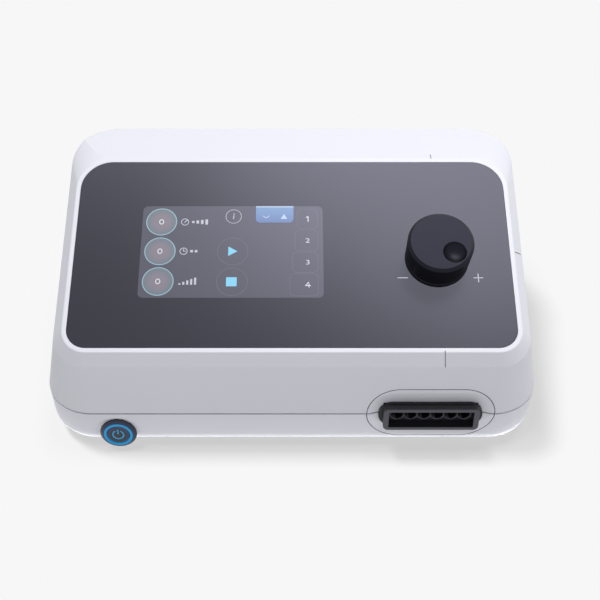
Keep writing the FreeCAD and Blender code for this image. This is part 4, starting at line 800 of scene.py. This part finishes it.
socket_facing = Vector((0, -math.cos(WALL_DRAFT), math.sin(WALL_DRAFT)))
socket_rise = Vector((0, math.sin(WALL_DRAFT), math.cos(WALL_DRAFT)))
SLEEVE_REACH = 5.0 * MM
HIGHLIGHT_START, HIGHLIGHT_FULL = 0.45 * MM, 0.1 * MM
mouth_reach = socket_facing.dot(SEAM) + SLEEVE_REACH
PORT_RADIUS, PORT_PITCH, PORT_COUNT = 3.45 * MM, 7.65 * MM, 6


def port_lip_highlights(name, colour, rim):
    """Moulded black with a painted highlight on the lip round every port.

    From the bore's middle outwards, the lip starts past BORE, is pale up to PALE and gone at GONE.
    """
    BORE, PALE, GONE = PORT_RADIUS + 0.03 * MM, PORT_RADIUS + 0.5 * MM, PORT_RADIUS + 0.9 * MM
    material = matt_nylon(name, colour)
    tree, shader, place = opened(material)
    across = add_node(tree, "ShaderNodeSeparateXYZ", (), {0: place}).outputs["X"]
    start = SEAM.x - PORT_COUNT / 2 * PORT_PITCH
    begun = add_node(tree, "ShaderNodeMath", {"operation": "SUBTRACT", 1: start}, {0: across}).outputs[0]
    lap = add_node(tree, "ShaderNodeMath", {"operation": "MODULO", 1: PORT_PITCH}, {0: begun}).outputs[0]
    side = add_node(tree, "ShaderNodeMath", {"operation": "SUBTRACT", 1: PORT_PITCH / 2}, {0: lap}).outputs[0]
    up = add_node(tree, "ShaderNodeVectorMath", {"operation": "DOT_PRODUCT", 1: socket_rise}, {0: place})
    high = add_node(tree, "ShaderNodeMath", {"operation": "SUBTRACT", 1: socket_rise.dot(SEAM)},
                    {0: up.outputs["Value"]}).outputs[0]
    flat = add_node(tree, "ShaderNodeCombineXYZ", (), {"X": side, "Y": high})
    away = add_node(tree, "ShaderNodeVectorMath", {"operation": "LENGTH"}, {0: flat.outputs[0]})
    outside = add_node(tree, "ShaderNodeMath", {"operation": "GREATER_THAN", 1: BORE},
                       {0: away.outputs["Value"]})
    share = add_node(tree, "ShaderNodeMapRange", {"From Min": GONE, "From Max": PALE},
                     {"Value": away.outputs["Value"], "To Max": outside.outputs[0]})
    tint(tree, shader, rim, share.outputs["Result"])
    return material


# A soft black whose rim is painted lighter as a highlight, and a deeper black with a painted grey
# highlight on the lip round each port.
sleeve_black = rim_highlighted("nylon_rim_painted_highlight", "121217", "4c4c56", socket_facing, mouth_reach - HIGHLIGHT_START,
                      mouth_reach - HIGHLIGHT_FULL)
port_black = port_lip_highlights("nylon_port_painted_highlights", "08080c", "4a4a54")
seat(dressed("socket_shell", "socket_sleeve", 0.3 * MM), "case", sleeve_black)
seat(dressed("port_block", "six_port_block", 0.25 * MM), "case", port_black)


# ------------------------------------------------------------------ power button
# A push button of black polycarbonate, threaded into the base. A light guide of blue-tinted
# acrylic fills the ring around the cap, and the power symbol is let into the cap.

# The button's middle, and the light ring's middle radius and half its width.
BUTTON = Vector((-101.3, -85.0, 13.6)) * MM
LIGHT_RING = 7.65 * MM
LIGHT_RING_HALF = 0.75 * MM


def washed_with_light(name, colour, roughness, grain, fade):
    """Black polycarbonate with a painted glow of the ring's blue light beside it.

    It is strongest at the ring's edges, and gone at a distance of fade from the ring's middle line.
    """
    SPILT = 0.3
    material = moulded(name, colour, roughness, grain, 0.003 * MM, 0.03)
    tree, shader, place = opened(material)
    moved = add_node(tree, "ShaderNodeVectorMath", {"operation": "SUBTRACT", 1: BUTTON}, {0: place})
    flat = add_node(tree, "ShaderNodeVectorMath", {"operation": "MULTIPLY", 1: (1, 0, 1)},
                    {0: moved.outputs[0]})
    radius = add_node(tree, "ShaderNodeVectorMath", {"operation": "LENGTH"}, {0: flat.outputs[0]})
    away = add_node(tree, "ShaderNodeMath", {"operation": "SUBTRACT", 1: LIGHT_RING},
                    {0: radius.outputs["Value"]}).outputs[0]
    gap = add_node(tree, "ShaderNodeMath", {"operation": "ABSOLUTE"}, {0: away}).outputs[0]
    share = add_node(tree, "ShaderNodeMapRange",
                     {"From Min": fade, "From Max": LIGHT_RING_HALF, "To Max": SPILT}, {"Value": gap})
    shader.inputs["Emission Color"].default_value = linear("0b4f96")
    tree.links.new(share.outputs["Result"], shader.inputs["Emission Strength"])
    return material


# The bezel is a glossy near black and the cap a satin dark grey, both with a painted blue glow beside the
# ring.
bezel_black = washed_with_light("polycarbonate_polished_black", "0c0c10", 0.3, 0.3 * MM, 3.0 * MM)
cap_black = washed_with_light("polycarbonate_satin_black", "2a2a31", 0.4, 0.25 * MM, 3.4 * MM)
# The ring and the symbol: an even clear blue that glows without glare.
lamp_blue = etched_glass("acrylic_lit_blue", "0a6f9e", "1496cc", 0.42)
seat(dressed("power_button_bezel", "button_bezel", 0.25 * MM), "case", bezel_black)
seat(dressed("power_button_cap", "button_cap", 0.15 * MM), "power_button", cap_black)


def finish_node(name, material):
    """Give a CAD node that keeps its own shape its finish."""
    slots = frame["nodes"][name].data.materials
    slots.clear()
    slots.append(material)


for node in ("power_button_light_ring", "power_symbol_window"):
    finish_node(node, lamp_blue)


# ------------------------------------------------------------------ feet, inlet and inner pieces
# Rubber feet carry the case, and the mains inlet is set in its back. The inner pieces show only
# through the vents: zinc-plated steel, die-cast aluminium, wound copper, green solder mask, moulded
# black plastic, silicone hose and rubber.


def metal(name, colour, roughness, grain):
    """Metal with a fine finish that has no direction, its grain drawn coarse enough to show.

    SWING is how many times rougher or smoother it gets.
    """
    SWING = 1.25
    RELIEF = 0.004 * MM
    material, tree, output = new_material(name)
    place = add_node(tree, "ShaderNodeTexCoord").outputs["Object"]
    scratch = add_node(tree, "ShaderNodeTexNoise", {"Scale": 1 / grain, "Detail": 3.0}, {"Vector": place})
    gloss = add_node(tree, "ShaderNodeMapRange", {"To Min": roughness / SWING, "To Max": roughness * SWING},
                     {"Value": scratch.outputs["Fac"]})
    bump = add_node(tree, "ShaderNodeBump", {"Distance": RELIEF}, {"Height": scratch.outputs["Fac"]})
    shader = add_node(tree, "ShaderNodeBsdfPrincipled", {"Base Color": linear(colour), "Metallic": 1.0}, {
        "Roughness": gloss.outputs["Result"], "Normal": bump.outputs["Normal"]})
    tree.links.new(shader.outputs[0], output.inputs["Surface"])
    return material


INNER = (
    # Rubber: a dull dark grey with a faint bloom.
    (moulded("rubber_moulded_grey", "3a3a3d", 0.7, 0.4 * MM, 0.01 * MM, 0.06),
     ["foot_1", "foot_2", "foot_3", "foot_4", "port_gasket", "compressor_mounts",
      "compressor_diaphragms"]),
    # Silicone hose: a milky pale grey, a little wet to the eye.
    (moulded("silicone_milky", "d4d5d8", 0.35, 0.6 * MM, 0.004 * MM), ["port_tubes", "supply_tubes"]),
    # Filled epoxy and nylon: an even soft black.
    (moulded("epoxy_moulded_black", "1c1c1e", 0.5, 0.3 * MM, 0.006 * MM, 0.05),
     ["display_bracket", "power_switch", "board_components", "supply_capacitors", "mains_inlet",
      "fan_frame", "fan_rotor"]),
    # Solder mask: a glossy bottle green that varies a little.
    (moulded("solder_mask_green", "1d5a37", 0.35, 0.8 * MM, 0.004 * MM, 0.06),
     ["main_board", "power_supply_board"]),
    # Natural nylon: a warm off-white with a dry face.
    (moulded("nylon_natural_white", "dcdcd6", 0.5, 0.4 * MM, 0.006 * MM),
     ["pressure_sensor", "valve_manifold", "manifold_stands"]),
    # The display's back: a smooth cold black.
    (moulded("display_module_black", "101014", 0.25, 0.5 * MM, 0.002 * MM), ["display_module"]),
    # Zinc plate: a cool bright grey with a soft gloss.
    (metal("steel_zinc_plated", "b4b6ba", 0.35, 0.3 * MM),
     ["encoder_shaft", "encoder_nut", "power_button_nut", "case_screws", "board_screws",
      "compressor_armature", "air_valve_1", "air_valve_2", "air_valve_3", "air_valve_4"]),
    # Die-cast aluminium: a pale metal, blurred by its cast skin.
    (metal("aluminium_die_cast", "c4c6c8", 0.5, 0.5 * MM),
     ["encoder_body", "compressor_case", "compressor_head_left", "compressor_head_right"]),
    # Turned brass: a clear yellow shine.
    (metal("brass_turned", "cda85e", 0.3, 0.2 * MM), ["inlet_pins"]),
    # Enamelled copper wire: a red brown with a lacquered gloss.
    (metal("copper_enamelled_wire", "b5683c", 0.4, 0.35 * MM), ["compressor_coils", "supply_transformer"]),
)
for material, names in INNER:
    for name in names:
        finish_node(name, material)


# ------------------------------------------------------------------ studio
# A light table: a matt sheet that its own glow makes pale, so the pump's foot is lit from below.
# Above hang a soft box behind at the right and a weaker one behind at the left, and fills in front
# and at both sides. Suns that light the sheet alone lay the pump's soft shadow on it.

def seen_by_eye(tree):
    """1 for the rays that show a surface: camera, glossy and transmission."""
    light_path = add_node(tree, "ShaderNodeLightPath")
    shiny = add_node(tree, "ShaderNodeMath", {"operation": "MAXIMUM"}, {
        0: light_path.outputs["Is Glossy Ray"], 1: light_path.outputs["Is Transmission Ray"]})
    return add_node(tree, "ShaderNodeMath", {"operation": "MAXIMUM"}, {
        0: light_path.outputs["Is Camera Ray"], 1: shiny.outputs[0]}).outputs[0]


GLOW_ON_PUMP, GLOW_TO_EYE = 0.298, 0.578


def floor_material():
    """A matt sheet that glows more to the eye than it does on the pump."""
    material, tree, output = new_material("light_table_matt_white")
    sheet = add_node(tree, "ShaderNodeBsdfDiffuse", {"Color": linear("272727")})
    power = add_node(tree, "ShaderNodeMapRange", {"To Min": GLOW_ON_PUMP, "To Max": GLOW_TO_EYE},
                     {"Value": seen_by_eye(tree)})
    glow = add_node(tree, "ShaderNodeEmission", {"Color": linear("ffffff")}, {"Strength": power.outputs[0]})
    both = add_node(tree, "ShaderNodeAddShader", (), {0: sheet.outputs[0], 1: glow.outputs[0]})
    tree.links.new(both.outputs[0], output.inputs["Surface"])
    return material


def make_floor():
    """The sheet, far wider than any view shows."""
    FLOOR_HALF = 6.0
    shape = bmesh.new()
    bmesh.ops.create_grid(shape, x_segments=1, y_segments=1, size=FLOOR_HALF)
    mesh = bpy.data.meshes.new("floor")
    shape.to_mesh(mesh)
    shape.free()
    mesh.materials.append(floor_material())
    floor = bpy.data.objects.new("floor", mesh)
    bpy.context.scene.collection.objects.link(floor)
    return floor


def make_world():
    """A faint even dome; what shows or mirrors it sees a pale backdrop."""
    world = bpy.data.worlds.new("studio")
    world.use_nodes = True
    tree = world.node_tree
    tree.nodes.clear()
    dome = add_node(tree, "ShaderNodeBackground", {"Color": linear("ffffff"), "Strength": 0.1})
    seen = add_node(tree, "ShaderNodeBackground", {"Color": linear("f6f6f6"), "Strength": 1.0})
    mix = add_node(tree, "ShaderNodeMixShader", (), {
        0: seen_by_eye(tree), 1: dome.outputs[0], 2: seen.outputs[0]})
    output = add_node(tree, "ShaderNodeOutputWorld")
    tree.links.new(mix.outputs[0], output.inputs["Surface"])
    bpy.context.scene.world = world


def add_light(name, kind, place, aim, energy, **settings):
    """A white lamp at a place, turned to a point."""
    data = bpy.data.lights.new(name, kind)
    data.energy = energy
    for key, value in settings.items():
        setattr(data, key, value)
    lamp = bpy.data.objects.new(name, data)
    lamp.location = place
    lamp.rotation_euler = (Vector(aim) - Vector(place)).to_track_quat("-Z", "Y").to_euler()
    bpy.context.scene.collection.objects.link(lamp)
    return lamp


def linked(name, thing, state):
    """A collection that leaves one thing out of a lamp's work, or names it alone."""
    group = bpy.data.collections.new(name)
    group.objects.link(thing)
    group.collection_objects[0].light_linking.link_state = state
    return group


# The camera stands in front of the pump and looks down on it, tipped up from straight down by its
# lean.
CAMERA_PLACE = (0.0, -0.43367, 0.4873)
CAMERA_LEAN = math.radians(44)
camera_data = bpy.data.cameras.new("camera")
camera_data.lens = 59.9
camera_data.sensor_width = 36
camera_data.shift_x = 0.0133
camera = bpy.data.objects.new("camera", camera_data)
camera.location = CAMERA_PLACE
camera.rotation_euler = (CAMERA_LEAN, 0, 0)
bpy.context.scene.collection.objects.link(camera)
bpy.context.scene.camera = camera

floor = make_floor()
make_world()

# name, place, aim, watts, width and height in metres, and whether glossy surfaces mirror it
SOFT_BOXES = (
    ("back_right", (0.25, 0.36, 1.15), (0.03, 0.0, 0.08), 5.95, 0.7, 0.6, True),
    ("back_left", (-0.12, 0.55, 1.05), (0.0, 0.0, 0.08), 2.35, 0.8, 0.4, True),
    ("high_front", (0.0, -0.62, 1.05), (0.0, -0.05, 0.06), 4.2, 0.8, 0.3, False),
    ("front", (0.0, -0.85, 0.9), (0.0, 0.0, 0.06), 1.2, 0.8, 0.3, False),
    ("right", (1.0, 0.1, 0.7), (0.0, 0.0, 0.08), 2.4, 0.6, 0.6, False),
    ("left", (-1.0, 0.1, 0.7), (0.0, 0.0, 0.08), 0.75, 0.6, 0.6, False),
)
for name, place, aim, watts, width, height, mirrored in SOFT_BOXES:
    box = add_light(name, "AREA", place, aim, watts, shape="RECTANGLE", size=width, size_y=height)
    box.visible_glossy = mirrored
    box.light_linking.receiver_collection = linked(name + "_lights", floor, "EXCLUDE")
    box.light_linking.blocker_collection = linked(name + "_shadows", knob, "EXCLUDE")

# The table's own tubes run under the sheet along the pump's foot and light its rounded edge:
# name, x and y of the middle, length, turn in degrees and watts.
TUBES = (
    ("front", 0.0, -0.0857, 0.245, 0, 0.046),
    ("front_left", -0.136, -0.076, 0.03, -45, 0.014),
    ("front_right", 0.136, -0.076, 0.03, 45, 0.022),
    ("left", -0.1445, 0.003, 0.13, 90, 0.022),
    ("right", 0.1445, 0.003, 0.13, 90, 0.019),
)
TUBE_WIDTH = 0.014
TUBE_DEPTH = 0.012
for name, x, y, length, turn, watts in TUBES:
    tube = add_light("tube_" + name, "AREA", (x, y, -TUBE_DEPTH), (x, y, 1.0), watts, shape="RECTANGLE",
                     size=length, size_y=TUBE_WIDTH)
    tube.rotation_euler = (math.pi, 0, math.radians(turn))  # face up, its length along the foot
    tube.visible_glossy = False
    beyond_floor = linked(tube.name + "_link", floor, "EXCLUDE")
    tube.light_linking.receiver_collection = beyond_floor
    tube.light_linking.blocker_collection = beyond_floor


# The suns that lay the shadow: name, where each shines from, strength and softness in degrees.
SHADOW_SUNS = (
    ("main", (-0.34, 0.21, 1.0), 37.1, 12),
    ("from_left", (-0.3, -0.05, 1.0), 11.8, 14),
    ("from_right", (0.2, 0.2, 1.0), 8.6, 16),
)
for name, place, strength, softness in SHADOW_SUNS:
    sun = add_light("shadow_sun_" + name, "SUN", place, (0, 0, 0), strength, angle=math.radians(softness))
    sun.light_linking.receiver_collection = linked(sun.name + "_lights", floor, "INCLUDE")
bpy.context.scene.view_settings.view_transform = "Standard"
